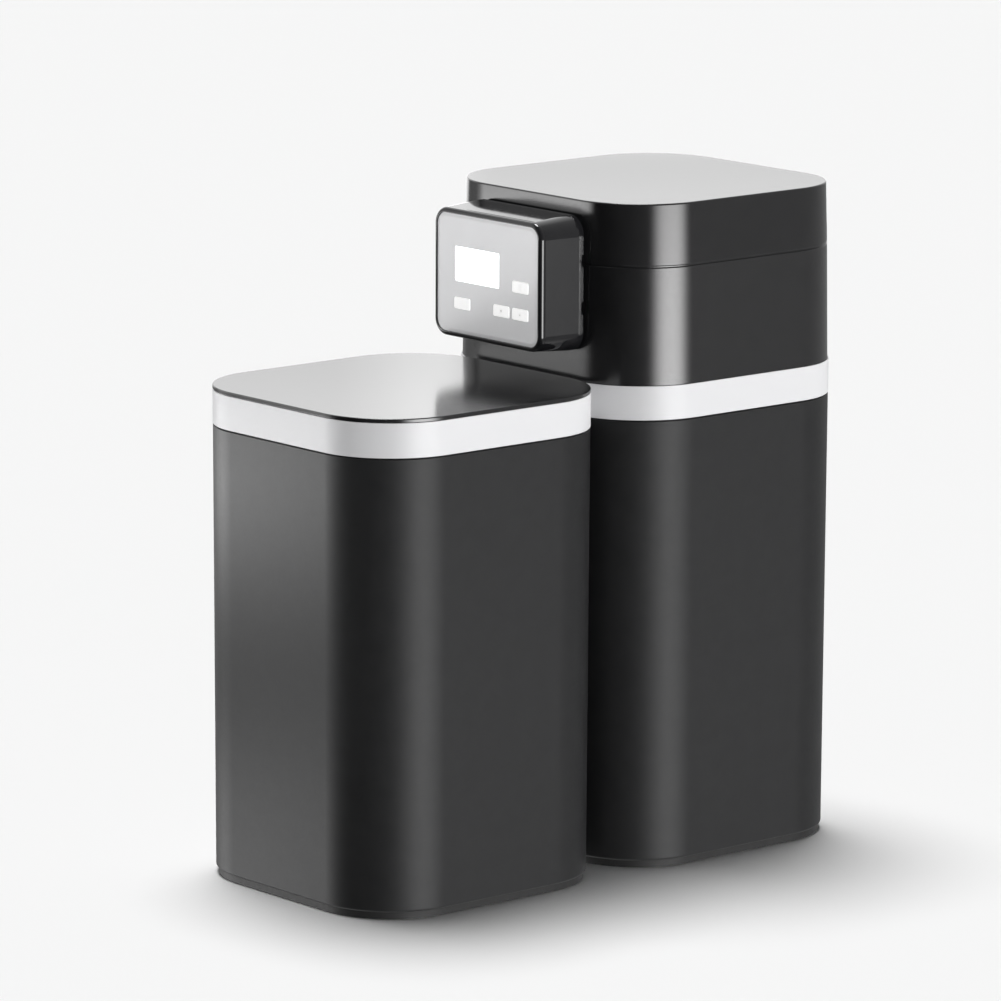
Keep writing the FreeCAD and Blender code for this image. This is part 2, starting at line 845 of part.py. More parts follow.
def slotted_basket(radius, base, height, bore, wall):
    """A drum of upright slots between two solid rings."""
    drum = post(radius, 0, resin_y, base, base + height)
    drum = drum.cut(post(radius - wall, 0, resin_y, base + wall, base + height - wall))
    slot_low = base + 3 * wall
    slot_high = base + height - 3 * wall
    cutters = []
    for index in range(basket_slots // 2):
        half = basket_slot_width / 2
        cutter = box(-radius - 1, radius + 1, resin_y - half, resin_y + half, slot_low, slot_high)
        cutter.rotate(vec(0, resin_y, 0), vec(0, 0, 1), 360 / basket_slots * index)
        cutters.append(cutter)
    slotted = drum.cut(cutters[0].multiFuse(cutters[1:]))
    return slotted.cut(post(bore, 0, resin_y, base + wall, base + height + 1))


def lower_basket():
    wall = tube_wall
    return slotted_basket(basket_radius, basket_base, basket_height, tube_radius + running_fit, wall)


def riser_tube():
    base = basket_base + basket_height - tube_socket
    return sleeve(tube_radius, tube_radius - tube_wall, 0, resin_y, base, neck_top)


def upper_basket():
    """Short strainer under the valve, open through its middle for the riser."""
    top = neck_top - boss_depth
    base = top - upper_basket_height
    radius = neck_bore - 2 * thread_clearance - 3.0
    drum = slotted_basket(radius, base, upper_basket_height, tube_radius + thread_clearance, tube_wall)
    return drum.cut(post(tube_radius + thread_clearance, 0, resin_y, base - 1, top + 1))


def neck_oring():
    """Seal between the vessel's neck and the head, its round section drawn with eight flats."""
    corners = []
    for index in range(9):
        turn = math.radians(22.5 + 45 * index)
        reach = oring_radius + oring_section * math.cos(turn)
        corners.append(vec(reach, 0, neck_top + oring_section * (1 + math.sin(turn))))
    section = Part.Face(Part.Wire(Part.makePolygon(corners)))
    ring = section.revolve(vec(0, 0, 0), vec(0, 0, 1), 360)
    ring.translate(vec(0, resin_y, 0))
    return ring


def ring_pattern(count, radius, start=0.0):
    places = []
    for index in range(count):
        turn = math.radians(start + 360 / count * index)
        places.append((radius * math.cos(turn), resin_y + radius * math.sin(turn)))
    return places


def valve_body():
    """Head casting: threaded boss, disc chamber, rear ports and the injector block on one side."""
    boss = post(neck_bore - thread_clearance, 0, resin_y, neck_top - boss_depth, neck_top)
    flange = post(flange_radius, 0, resin_y, neck_top, flange_top)
    chamber = post(chamber_radius, 0, resin_y, flange_top, chamber_top)
    collar = post(cap_flange_radius, 0, resin_y, chamber_top - cap_flange_height, chamber_top)
    half = injector_width / 2
    high = injector_height / 2
    block = box(0, injector_block_x, resin_y - half, resin_y + half, port_z - high, port_z + high)
    solids = [boss, flange, chamber, collar, block]
    collar_y = port_end_y - port_thread_length - port_collar_length
    for x in (-port_pitch / 2, port_pitch / 2):
        solids.append(pipe_y(port_pipe_radius, x, port_z, resin_y, collar_y))
        solids.append(pipe_y(port_collar_radius, x, port_z, collar_y, port_end_y - port_thread_length))
        solids.append(pipe_y(port_thread_radius, x, port_z, port_end_y - port_thread_length, port_end_y))
    drain_thread_y = port_end_y - drain_thread_length
    solids.append(pipe_y(drain_pipe_radius, 0, drain_z, resin_y, drain_thread_y))
    solids.append(pipe_y(drain_thread_radius, 0, drain_z, drain_thread_y, port_end_y))
    body = joined(solids)
    groove = oring_section * 2
    cuts = [
        sleeve(oring_radius + groove, oring_radius - groove, 0, resin_y, neck_top - 1, neck_top + groove),
        post(chamber_bore, 0, resin_y, chamber_top - chamber_bore_depth, chamber_top + 1),
        post(tube_radius + thread_clearance, 0, resin_y, neck_top - boss_depth - 1, flange_top),
        pipe_y(port_bore, -port_pitch / 2, port_z, resin_y + chamber_radius, port_end_y + 1),
        pipe_y(port_bore, port_pitch / 2, port_z, resin_y + chamber_radius, port_end_y + 1),
        pipe_y(drain_bore, 0, drain_z, resin_y + chamber_radius, port_end_y + 1),
        nozzle_pocket(),
        pipe_y(line_radius - line_wall, line_x, port_z, resin_y - half - 1, resin_y - half + nozzle_radius * 3),
    ]
    for x, y in ring_pattern(cap_screws_count, screw_circle):
        cuts.append(post(cap_screw_radius - 0.05, x, y, chamber_top - cap_flange_height - 1, chamber_top + 1))
    for cutter in cuts:
        body = body.cut(cutter)
    return body


def nozzle_pocket():
    start = vec(injector_block_x - nozzle_length - 1, resin_y, port_z)
    return Part.makeCylinder(nozzle_radius + 0.1, nozzle_length + 2, start, vec(1, 0, 0))


def injector_nozzle():
    """Waisted nozzle: the throat that draws the brine."""
    x0 = injector_block_x - nozzle_length - 0.8
    third = nozzle_length / 3
    axis = vec(1, 0, 0)
    parts = [
        Part.makeCylinder(nozzle_radius, third, vec(x0, resin_y, port_z), axis),
        Part.makeCylinder(nozzle_radius * 0.6, third, vec(x0 + third, resin_y, port_z), axis),
        Part.makeCylinder(nozzle_radius, third, vec(x0 + 2 * third, resin_y, port_z), axis),
    ]
    throat = nozzle_radius * 0.2
    mouth = nozzle_radius * 0.7
    bore = Part.makeCone(throat, mouth, nozzle_length + 0.2, vec(x0 - 0.1, resin_y, port_z), axis)
    return joined(parts).cut(bore)


def injector_cap():
    half = injector_width / 2 - 4.0
    high = injector_height / 2 - 2.0
    x0 = injector_block_x
    plate = box(x0, x0 + injector_cap_thickness, resin_y - half, resin_y + half, port_z - high, port_z + high)
    upright = [edge for edge in plate.Edges if edge.BoundBox.XLength > injector_cap_thickness - 0.1]
    plate = plate.makeFillet(6.0, upright)
    for y_side in (-1, 1):
        for z_side in (-1, 1):
            spot = vec(x0, resin_y + y_side * (half - 6.0), port_z + z_side * (high - 6.0))
            plate = plate.fuse(Part.makeCylinder(3.5, injector_cap_thickness + 2.5, spot, vec(1, 0, 0)))
    return plate


def disc_with_ports(base, count, skip):
    disc = post(disc_radius, 0, resin_y, base, base + disc_thickness)
    for index, (x, y) in enumerate(ring_pattern(count, disc_port_circle)):
        if index not in skip:
            disc = disc.cut(post(disc_port_radius, x, y, base - 1, base + disc_thickness + 1))
    return disc


def fixed_disc():
    """Ceramic seat with the ports of every path."""
    return disc_with_ports(fixed_disc_base, disc_ports, ())


def moving_disc():
    """Ceramic disc that turns on the seat and opens one path at a time."""
    return disc_with_ports(moving_disc_base, disc_ports, (1, 2, 4))


def valve_cap():
    """Screwed cap over the disc chamber, with the spindle's bearing."""
    middle = chamber_top + cap_height / 2
    cap = post(cap_flange_radius, 0, resin_y, chamber_top, middle)
    dome = Part.makeCone(chamber_radius, spindle_radius * 2.2, cap_height / 2, vec(0, resin_y, middle))
    pads = [
        post(cap_screw_radius * 2.4, x, y, chamber_top, cap_top)
        for x, y in ring_pattern(cap_screws_count, screw_circle)
    ]
    body = joined([cap, dome] + pads)
    body = body.cut(post(spindle_radius + running_fit, 0, resin_y, chamber_top - 1, cap_top + 1))
    hollow = post(chamber_bore - 2.0, 0, resin_y, chamber_top - 1, chamber_top + 2.5)
    body = body.cut(hollow)
    for x, y in ring_pattern(cap_screws_count, screw_circle):
        body = body.cut(post(cap_screw_radius + 0.2, x, y, chamber_top - 1, cap_top + 1))
    return body


def cap_screws():
    """Screws through the gear plate and the cap into the head."""
    solids = []
    for x, y in ring_pattern(cap_screws_count, screw_circle):
        shank = post(cap_screw_radius - 0.1, x, y, chamber_top - cap_flange_height + 1, plate_top)
        head = post(cap_screw_radius * 1.8, x, y, plate_top, plate_top + gear_lift - 0.4)
        solids.append(shank.fuse(head))
    return Part.makeCompound(solids)


def involute(angle):
    return math.tan(angle) - angle


def gear_wire(teeth, module, z, first_tooth):
    """Outline of a spur gear about the origin; first_tooth is one tooth's direction, in degrees."""
    pitch = module * teeth / 2
    base = pitch * math.cos(math.radians(pressure_angle))
    tip = pitch + 0.92 * module
    root = pitch - 1.2 * module
    flank_start = max(base, root)
    half_pitch_tooth = (math.pi / 2 - gear_backlash / module) / teeth
    reference = involute(math.radians(pressure_angle))

    def half_tooth(radius):
        angle = math.acos(min(1.0, base / radius))
        return half_pitch_tooth + reference - involute(angle)

    profile = [
        (root, half_tooth(flank_start)),
        (flank_start + 0.05 * module, half_tooth(flank_start + 0.05 * module)),
        (pitch, half_tooth(pitch)),
        (tip, half_tooth(tip)),
    ]
    points = []
    for index in range(teeth):
        middle = math.radians(first_tooth) + 2 * math.pi * index / teeth
        for radius, half in profile:
            points.append(vec(radius * math.cos(middle - half), radius * math.sin(middle - half), z))
        for radius, half in reversed(profile):
            points.append(vec(radius * math.cos(middle + half), radius * math.sin(middle + half), z))
    points.append(points[0])
    return Part.Wire(Part.makePolygon(points))


def gear(teeth, module, x, y, z0, z1, first_tooth):
    face = Part.Face(gear_wire(teeth, module, z0, first_tooth))
    body = face.extrude(vec(0, 0, z1 - z0))
    body.translate(vec(x, y, 0))
    return body


def disc_gear():
    """The driven gear and its spindle, keyed to the moving disc; pockets in its face hold magnets."""
    wheel = gear(disc_teeth, disc_module, 0, resin_y, disc_gear_base, disc_gear_top, -90)
    drive_top = spindle_base + drive_thickness
    spindle = post(spindle_radius, 0, resin_y, drive_top, disc_gear_base)
    drive = post(disc_radius, 0, resin_y, spindle_base, drive_top)
    body = joined([wheel, spindle, drive])
    relief = disc_gear_width / 3
    rim = disc_module * disc_teeth / 2 - disc_rim
    dish = sleeve(rim, spindle_radius + disc_hub, 0, resin_y, disc_gear_top - relief, disc_gear_top + 1)
    body = body.cut(dish)
    for x, y in ring_pattern(3, rim - magnet_inset, 45):
        body = body.fuse(post(magnet_radius + 1.5, x, y, disc_gear_top - relief - 0.5, disc_gear_top))
    return body


def idler_gear():
    """Two gears in one: the small one drives the disc gear, the large one is driven by the motor."""
    mesh_angle = 90 + 180 / small_teeth
    small = gear(small_teeth, disc_module, idler_x, idler_y, disc_gear_base, disc_gear_top, mesh_angle)
    small_root = disc_module * (small_teeth / 2 - 1.2)
    neck = post(small_root, idler_x, idler_y, disc_gear_top, large_gear_base)
    large = gear(large_teeth, motor_module, idler_x, idler_y, large_gear_base, large_gear_top, motor_direction)
    body = joined([small, neck, large])
    return body.cut(post(axle_radius + running_fit, idler_x, idler_y, disc_gear_base - 1, large_gear_top + 1))


def motor_pinion():
    first = motor_direction + 180 + 180 / pinion_teeth
    low = large_gear_base - 0.4
    wheel = gear(pinion_teeth, motor_module, motor_x, motor_y, low, large_gear_top + 0.4, first)
    hub = post(axle_radius * 1.8, motor_x, motor_y, plate_top + 1.0, low)
    shaft = post(axle_radius, motor_x, motor_y, cap_top - 8.0, plate_top + 1.0)
    return joined([wheel, hub, shaft])


def drive_motor():
    """Geared motor hung under the gear plate."""
    can = post(motor_radius, motor_x, motor_y, cap_top - motor_height, cap_top)
    ear = motor_radius + 5.0
    ears = box(motor_x - ear, motor_x + ear, motor_y - 4.0, motor_y + 4.0, cap_top - plate_thickness, cap_top)
    tail = post(motor_radius / 2, motor_x, motor_y, cap_top - motor_height - 5.0, cap_top - motor_height)
    body = joined([can, ears, tail])
    return body.cut(post(axle_radius + running_fit, motor_x, motor_y, cap_top - 9.0, cap_top + 1))


def post_places():
    """The three stand-offs of the position board, between the cap's screws and clear of the idler."""
    places = []
    for angle in (30, 90, 150):
        turn = math.radians(angle)
        places.append((post_reach * math.cos(turn), resin_y + post_reach * math.sin(turn)))
    return places


def gear_plate():
    """Moulded plate on the cap: carries the motor, the idler's axle, the board posts and the pod's duct."""
    disc = post(cap_flange_radius, 0, resin_y, cap_top, plate_top)
    arm = box(motor_x - motor_radius - 6.0, duct_width / 2, duct_rear_y, resin_y, cap_top, plate_top)
    tongue = box(-duct_width / 2, duct_width / 2, pod_back_y + 4.0, duct_rear_y, cap_top, plate_top)
    axle = post(axle_radius, idler_x, idler_y, cap_top, large_gear_top + 2.0)
    seat = post(axle_radius * 2, idler_x, idler_y, plate_top, disc_gear_base - 0.3)
    posts = [post(post_radius, x, y, cap_top, board_base) for x, y in post_places()]
    body = joined([disc, arm, tongue, axle, seat] + posts)
    body = body.cut(post(spindle_radius * 2.2 + 1.0, 0, resin_y, cap_top - 1, plate_top + 1))
    body = body.cut(post(axle_radius * 1.8 + 1.0, motor_x, motor_y, cap_top - 1, plate_top + 1))
    for x, y in ring_pattern(cap_screws_count, screw_circle):
        body = body.cut(post(cap_screw_radius, x, y, cap_top - 1, plate_top + 0.5))
    return body


def position_board():
    """Sensor board that reads the magnets in the disc gear."""
    base = board_base
    reach = post_reach + post_radius + 1.0
    ring = sleeve(reach, spindle_radius * 2.2, 0, resin_y, base, base + board_thickness)
    front = resin_y - post_radius - board_hub_margin
    ring = ring.cut(box(-half_width, half_width, resin_y - half_depth, front, base - 1, base + 5))
    plug_low = base + board_thickness
    plug_y = resin_y + plug_place
    half = plug_depth / 2
    plug = box(-plug_width / 2, plug_width / 2, plug_y - half, plug_y + half, plug_low, plug_low + plug_height)
    return ring.fuse(plug)


def pod_duct():
    """Hollow arm that carries the pod through the cover's window and leads its cable."""
    half = duct_width / 2
    rear = duct_rear_y
    outer = box(-half, half, pod_back_y, rear, duct_base, duct_base + duct_height)
    inner = box(
        -half + duct_wall,
        half - duct_wall,
        pod_back_y - 1,
        rear + 1,
        duct_base + duct_wall,
        duct_base + duct_height - duct_wall,
    )
    arm = outer.cut(inner)
    gusset_y = rear - duct_overlap / 2
    thick = gusset_thickness / 2
    gusset = box(-half, half, gusset_y - thick, gusset_y + thick, duct_base, duct_base + duct_height)
    port_low = duct_base + gusset_border
    port_high = duct_base + duct_height - gusset_border
    port = box(-half / 2, half / 2, gusset_y - 2 * thick, gusset_y + 2 * thick, port_low, port_high)
    return arm.fuse(gusset.cut(port))


def meter_cage():
    """Guide ring in the outlet, with the impeller's axle."""
    x = -port_pitch / 2
    back = meter_y - meter_length - 6.0
    front = meter_y - meter_length - 0.4
    ring = pipe_y(port_bore - 0.1, x, port_z, back, front)
    ring = ring.cut(pipe_y(port_bore - 1.8, x, port_z, back - 1, front + 1))
    vanes = []
    for index in range(2):
        vane = box(x - port_bore + 1.0, x + port_bore - 1.0, back, front, port_z - 0.7, port_z + 0.7)
        vane.rotate(vec(x, 0, port_z), vec(0, 1, 0), 90 * index)
        vanes.append(vane)
    hub = pipe_y(3.0, x, port_z, back, front)
    axle = pipe_y(1.2, x, port_z, back, meter_y + 1.5)
    return joined([ring, hub, axle] + vanes)


def meter_impeller():
    """Turbine that counts the softened water."""
    x = -port_pitch / 2
    back = meter_y - meter_length
    tip = port_bore - meter_tip_clearance
    hub = pipe_y(3.0, x, port_z, back, meter_y)
    blades = [hub]
    for index in range(meter_blades):
        blade = box(x, x + tip, back, meter_y, port_z - 0.6, port_z + 0.6)
        blade.rotate(vec(x, meter_y - meter_length / 2, port_z), vec(1, 0, 0), 28)
        blade.rotate(vec(x, 0, port_z), vec(0, 1, 0), 360 / meter_blades * index)
        blades.append(blade)
    envelope = pipe_y(tip, x, port_z, back, meter_y)
    body = joined(blades).common(envelope)
    return body.cut(pipe_y(1.2 + running_fit, x, port_z, back - 1, meter_y + 1))


def bay_wire_solid():
    """The rear opening's cutter: a round-cornered slot along Y."""
    low = rim_z + bay_bottom
    wire = rounded_wire(bay_width / 2, bay_height / 2, bay_corner, 0)
    wire.rotate(vec(0, 0, 0), vec(1, 0, 0), 90)
    wire.translate(vec(0, resin_y + half_depth * 0.6, low + bay_height / 2))
    return Part.Face(wire).extrude(vec(0, half_depth, 0))


def duct_window(top):
    """Clears the pod's duct through the front wall, open upwards to top."""
    half = duct_width / 2 + duct_clearance
    low = cap_top - duct_clearance
    return box(-half, half, resin_y - half_depth - 1, resin_y - corner_radius, low, top)


def head_cover():
    """Drafted wall round the valve, seated on the cabinet's rim, with a pipe bay behind."""
    outer = cabinet_solid(cover_inset, seam_inset, rim_z, seam_z, resin_y)
    inner = cabinet_solid(cover_inset + cover_wall, seam_inset + cover_wall, rim_z, seam_z, resin_y)
    lip_end = lip_inset + lip_thickness
    ledge_top = rim_z + lip_thickness
    lip = cabinet_ring(lip_inset, lip_end, rim_z - cover_lip_depth, ledge_top, resin_y)
    ledge = cabinet_ring(cover_inset + cover_ledge_margin, lip_end, rim_z, ledge_top, resin_y)
    body = joined([outer.cut(inner), ledge, lip])
    rebate = cabinet_ring(-1, seam_inset + seam_rebate, seam_z - seam_height, seam_z + 1, resin_y)
    body = body.cut(rebate).cut(bay_wire_solid()).cut(duct_window(seam_z + 1))
    rear = resin_y + half_depth
    gland = pipe_y(gland_radius + gland_wall, gland_offset, gland_z, rear - half_depth / 2, rear)
    return body.cut(gland)


def power_gland():
    """Rubber bush for the low-voltage lead, in the rear wall."""
    share = (gland_z - rim_z) / cover_height
    outside = resin_y + half_depth - cover_inset - cover_draft * share
    inside = outside - cover_wall
    play = 0.1
    seat = 2 * play
    flange = 1.2
    radius = gland_radius + gland_wall
    body = pipe_y(radius - play, gland_offset, gland_z, inside - flange, outside + flange)
    first = pipe_y(radius + flange, gland_offset, gland_z, inside - flange, inside - seat)
    second = pipe_y(radius + flange, gland_offset, gland_z, outside + seat, outside + flange)
    bore = pipe_y(gland_radius, gland_offset, gland_z, inside - 2 * flange, outside + 2 * flange)
    return joined([body, first, second]).cut(bore)


def head_lid():
    """Lift-off top with rounded edge, inner lip and ribs; notched in front for the pod's duct."""
    base = seam_z + seat_gap
    outer = cabinet_solid(seam_inset, top_inset, base, top_z, resin_y)
    outer = outer.makeFillet(top_edge_round, edges_at(outer, top_z))
    inner = cabinet_solid(seam_inset + cover_wall, top_inset + cover_wall, base, top_z - cover_wall, resin_y)
    lip_outer = seam_inset + cover_wall + lip_clearance
    lip_end = lip_outer + lip_thickness
    lip = cabinet_ring(lip_outer, lip_end, seam_z - cover_lip_depth, top_z - cover_wall, resin_y)
    collar_low = seam_z + cover_lip_depth
    lip = lip.cut(cabinet_solid(lip_outer - 1, lip_outer - 1, collar_low, top_z, resin_y))
    bridge = cabinet_ring(seam_inset + cover_wall - 1, lip_end, seam_z + 2.0, collar_low, resin_y)
    ribs = []
    rib_base = top_z - cover_wall - top_rib_height
    for offset in (-0.25, 0.0, 0.25):
        x = offset * cabinet_width
        ribs.append(box(x - 1.0, x + 1.0, resin_y - half_depth, resin_y + half_depth, rib_base, top_z - 1.0))
    core = cabinet_solid(top_inset + 1, top_inset + 1, rib_base, top_z - 1.0, resin_y)
    body = joined([outer.cut(inner), lip, bridge, joined(ribs).common(core)])
    return body.cut(duct_window(duct_base + duct_height + duct_clearance))


def pod_bezel():
    """Glossy frame round the fascia, with a rounded front edge."""
    outer = pod_solid(pod_width / 2, pod_height / 2, pod_corner, pod_front_y, housing_front_y)
    front_edges = [edge for edge in outer.Edges if edge.BoundBox.YMax < pod_front_y + 1e-4]
    outer = outer.makeFillet(bezel_edge_round, front_edges)
    seat_x = pod_width / 2 - bezel_border
    seat_z = pod_height / 2 - bezel_border
    pocket = pod_solid(seat_x, seat_z, fascia_corner, pod_front_y - 1, fascia_back_y)
    inner_x = seat_x - bezel_ledge
    inner_z = seat_z - bezel_ledge
    through = pod_solid(inner_x, inner_z, fascia_corner - bezel_ledge, pod_front_y, housing_front_y + 1)
    return outer.cut(pocket).cut(through)


def pod_housing():
    """Flared shell between the bezel and the back, with four screw bosses."""
    length = housing_back_y - housing_front_y
    outer = pod_solid(pod_width / 2, pod_height / 2, pod_corner, housing_front_y, housing_back_y, pod_flare)
    core_x = pod_width / 2 - pod_wall
    core_z = pod_height / 2 - pod_wall
    inner = pod_solid(core_x, core_z, pod_corner - pod_wall, housing_front_y, housing_back_y, pod_flare)
    body = outer.cut(inner)
    web_end = core_x + pod_flare + 0.4
    web_front = housing_front_y + length * 0.45
    for x, z in boss_places():
        body = body.fuse(pipe_y(boss_radius, x, z, board_front_y + board_thickness, housing_back_y))
        side = 1 if x > 0 else -1
        web = sorted((x, side * web_end))
        body = body.fuse(box(web[0], web[1], web_front, housing_back_y, z - 1.0, z + 1.0))
    for x, z in boss_places():
        bore_y = housing_back_y - pod_screw_depth - pod_screw_head
        body = body.cut(pipe_y(pod_screw_radius, x, z, bore_y, housing_back_y + 1))
    return body.removeSplitter()


def boss_places():
    x = pod_width / 2 - pod_wall - boss_radius - boss_inset_x
    z = pod_height / 2 - pod_wall - boss_radius - boss_inset_z
    return [(-x, pod_z - z), (x, pod_z - z), (-x, pod_z + z), (x, pod_z + z)]


def pod_back():
    """Back of the pod: flat skin, short rim with clip notches, and the opening to the duct."""
    half_x = pod_width / 2 + pod_flare
    half_z = pod_height / 2 + pod_flare
    radius = pod_corner + pod_flare
    outer = pod_solid(half_x, half_z, radius, housing_back_y, pod_back_y)
    inner_x = half_x - pod_wall
    inner_z = half_z - pod_wall
    hollow = pod_solid(inner_x, inner_z, radius - pod_wall, housing_back_y - 1, pod_back_y - back_skin)
    body = outer.cut(hollow)
    for side in (-1, 1):
        for level in (-back_notch_pitch / 2, back_notch_pitch / 2):
            x0, x1 = sorted((side * (half_x - 1.5), side * (half_x + 1)))
            low = pod_z + level - back_notch_length / 2
            body = body.cut(box(x0, x1, pod_back_y - 2.5, pod_back_y + 1, low, low + back_notch_length))
    inner_half = duct_width / 2 - duct_wall
    low = duct_base + duct_wall
    high = duct_base + duct_height - duct_wall
    body = body.cut(box(-inner_half, inner_half, housing_back_y - 1, pod_back_y + 1, low, high))
    pads = [pipe_y(boss_radius, x, z, housing_back_y, pod_back_y) for x, z in boss_places()]
    body = joined([body] + pads)
    for x, z in boss_places():
        body = body.cut(pipe_y(pod_screw_radius + 0.3, x, z, housing_back_y - 1, pod_back_y + 1))
        body = body.cut(pipe_y(pod_screw_radius * 2, x, z, pod_back_y - pod_screw_head, pod_back_y + 1))
    return body


def pod_screws():
    """Four screws that hold the back to the housing."""
    solids = []
    for x, z in boss_places():
        seat_y = pod_back_y - pod_screw_head
        shank = pipe_y(pod_screw_radius - 0.1, x, z, housing_back_y - pod_screw_depth, seat_y)
        head = pipe_y(pod_screw_radius * 2 - 0.2, x, z, seat_y, pod_back_y - 0.3)
        solids.append(shank.fuse(head))
    return Part.makeCompound(solids)


def fascia():
    """Silver front panel with openings for the window and the keys."""
    width = pod_width - 2 * bezel_border - 2 * panel_gap
    height = pod_height - 2 * bezel_border - 2 * panel_gap
    corner = fascia_corner - panel_gap
    bevel_y = fascia_front_y + fascia_bevel_drop
    face_x = width / 2 - fascia_bevel
    face_z = height / 2 - fascia_bevel
    face = pod_solid(face_x, face_z, corner - fascia_bevel, fascia_front_y, bevel_y, fascia_bevel)
    plate = joined([face, panel(width, height, corner, 0, 0, bevel_y, fascia_back_y)])
    gap = 2 * panel_gap
    front = fascia_front_y - 1
    back = fascia_back_y + 1
    wide = window_width + gap
    high = window_height + gap
    plate = plate.cut(panel(wide, high, key_corner, window_offset_x, window_offset_z, front, back))
    for x, dz in key_places.values():
        plate = plate.cut(panel(key_width + gap, key_height + gap, key_corner, x, dz, front, back))
    return plate


def lcd_window():
    front = fascia_front_y
    return panel(window_width, window_height, key_corner, window_offset_x, window_offset_z, front, fascia_back_y)


def lcd_module():
    width = window_width + 2 * lcd_border
    height = window_height + 2 * lcd_border
    front = fascia_back_y + panel_gap
    back = min(front + lcd_thickness, board_front_y)
    return panel(width, height, key_corner, window_offset_x, window_offset_z, front, back)


def key(x, dz):
    """A key with its retaining flange and stem."""
    cap = panel(key_width, key_height, key_corner, x, dz, fascia_front_y - key_proud, flange_front_y)
    width = key_width + 2 * key_flange
    height = key_height + 2 * key_flange
    flange = panel(width, height, key_corner, x, dz, flange_front_y, flange_back_y)
    stem = pipe_y(key_stem_radius, x, pod_z + dz, flange_back_y, stem_end_y)
    return joined([cap, flange, stem])


def control_board():
    """Circuit board with one switch under each key, on the housing's bosses."""
    width = pod_width - 2 * pod_wall - 2 * board_margin
    height = pod_height - 2 * pod_wall - 2 * board_margin
    board = panel(width, height, key_corner * 3, 0, 0, board_front_y, board_front_y + board_thickness)
    half = switch_size / 2
    for x, dz in key_places.values():
        z = pod_z + dz
        board = board.fuse(box(x - half, x + half, switch_front_y, board_front_y, z - half, z + half))
    back = board_front_y + board_thickness
    plug_z = pod_z + head_plug_lift
    half = head_plug_height / 2
    wide = head_plug_width / 2
    plug = box(-wide, wide, back, back + head_plug_depth, plug_z - half, plug_z + half)
    return board.fuse(plug)


def export_parts():
    os.makedirs("parts", exist_ok=True)
    builders = {
        "brine_tank": brine_tank,
        "brine_plinth": lambda: plinth(salt_y),
        "brine_band": lambda: band(salt_y),
        "brine_lid": brine_lid,
        "salt_grid": salt_grid,
        "brine_well": brine_well,
        "well_cap": well_cap,
        "brine_valve": brine_valve,
        "valve_nut": valve_nut,
        "brine_riser": brine_riser,
        "air_check_cage": air_check_cage,
        "air_check_ball": air_check_ball,
        "float_rod": float_rod,
        "brine_float": brine_float,
        "overflow_grommet": overflow_grommet,
        "line_bushes": line_bushes,
        "brine_line": brine_line,
        "brine_elbow": brine_elbow,
        "resin_cabinet": lambda: cabinet_body(resin_y).cut(line_hole()),
        "resin_plinth": lambda: plinth(resin_y),
        "resin_band": lambda: band(resin_y),
        "pressure_vessel": pressure_vessel,
        "vessel_boot": vessel_boot,
        "resin_bed": resin_bed,
        "lower_basket": lower_basket,
        "riser_tube": riser_tube,
        "upper_basket": upper_basket,
        "neck_oring": neck_oring,
        "valve_body": valve_body,
        "injector_nozzle": injector_nozzle,
        "injector_cap": injector_cap,
        "fixed_disc": fixed_disc,
        "moving_disc": moving_disc,
        "valve_cap": valve_cap,
        "cap_screws": cap_screws,
        "disc_gear": disc_gear,
        "idler_gear": idler_gear,
        "motor_pinion": motor_pinion,
        "drive_motor": drive_motor,
        "gear_plate": gear_plate,
        "position_board": position_board,
        "meter_cage": meter_cage,
        "meter_impeller": meter_impeller,
        "head_cover": head_cover,
        "head_lid": head_lid,
        "power_gland": power_gland,
        "pod_duct": pod_duct,
        "pod_back": pod_back,
        "pod_screws": pod_screws,
        "pod_housing": pod_housing,
        "pod_bezel": pod_bezel,
        "fascia": fascia,
        "lcd_window": lcd_window,
        "lcd_module": lcd_module,
        "control_board": control_board,
    }
    for name, place in key_places.items():
        builders[name] = lambda place=place: key(*place)
    for name, make in builders.items():
        shape = make()
        shape.exportStep("parts/" + name + ".step")
        print(name, "solids", len(shape.Solids), "valid", shape.isValid(), "cm3", round(shape.Volume / 1000, 2))


export_parts()
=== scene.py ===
# %% [markdown]
# # A water softener in two black cabinets
# The softener is a low salt cabinet in front of a tall resin cabinet. Both are satin black mouldings
# with a silver band under the lid, and a display pod hangs from the tall one over the salt lid.
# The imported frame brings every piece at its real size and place, in metres, with +Z up and the
# display facing -Y. This script adds what the eye sees: smooth outer mouldings, rounded edges,
# finishes, light and a camera.

import json
import math

import bmesh
import bpy
from mathutils import Matrix, Vector


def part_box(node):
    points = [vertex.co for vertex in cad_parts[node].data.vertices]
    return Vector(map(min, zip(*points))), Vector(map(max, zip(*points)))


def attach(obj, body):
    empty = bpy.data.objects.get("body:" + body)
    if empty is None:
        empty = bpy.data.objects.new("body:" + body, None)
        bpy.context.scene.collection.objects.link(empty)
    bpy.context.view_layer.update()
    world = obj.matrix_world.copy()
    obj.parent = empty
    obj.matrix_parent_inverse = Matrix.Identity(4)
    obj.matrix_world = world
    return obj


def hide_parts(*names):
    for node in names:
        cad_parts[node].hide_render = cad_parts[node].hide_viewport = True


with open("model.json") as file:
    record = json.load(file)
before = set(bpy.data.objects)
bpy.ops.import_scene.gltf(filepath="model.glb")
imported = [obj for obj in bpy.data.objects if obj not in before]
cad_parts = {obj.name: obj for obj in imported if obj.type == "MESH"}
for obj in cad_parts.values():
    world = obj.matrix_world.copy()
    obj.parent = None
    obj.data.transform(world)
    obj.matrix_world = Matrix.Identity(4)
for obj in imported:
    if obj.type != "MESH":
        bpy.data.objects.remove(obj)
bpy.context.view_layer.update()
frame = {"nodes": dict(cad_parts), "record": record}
nodes = frame["nodes"]

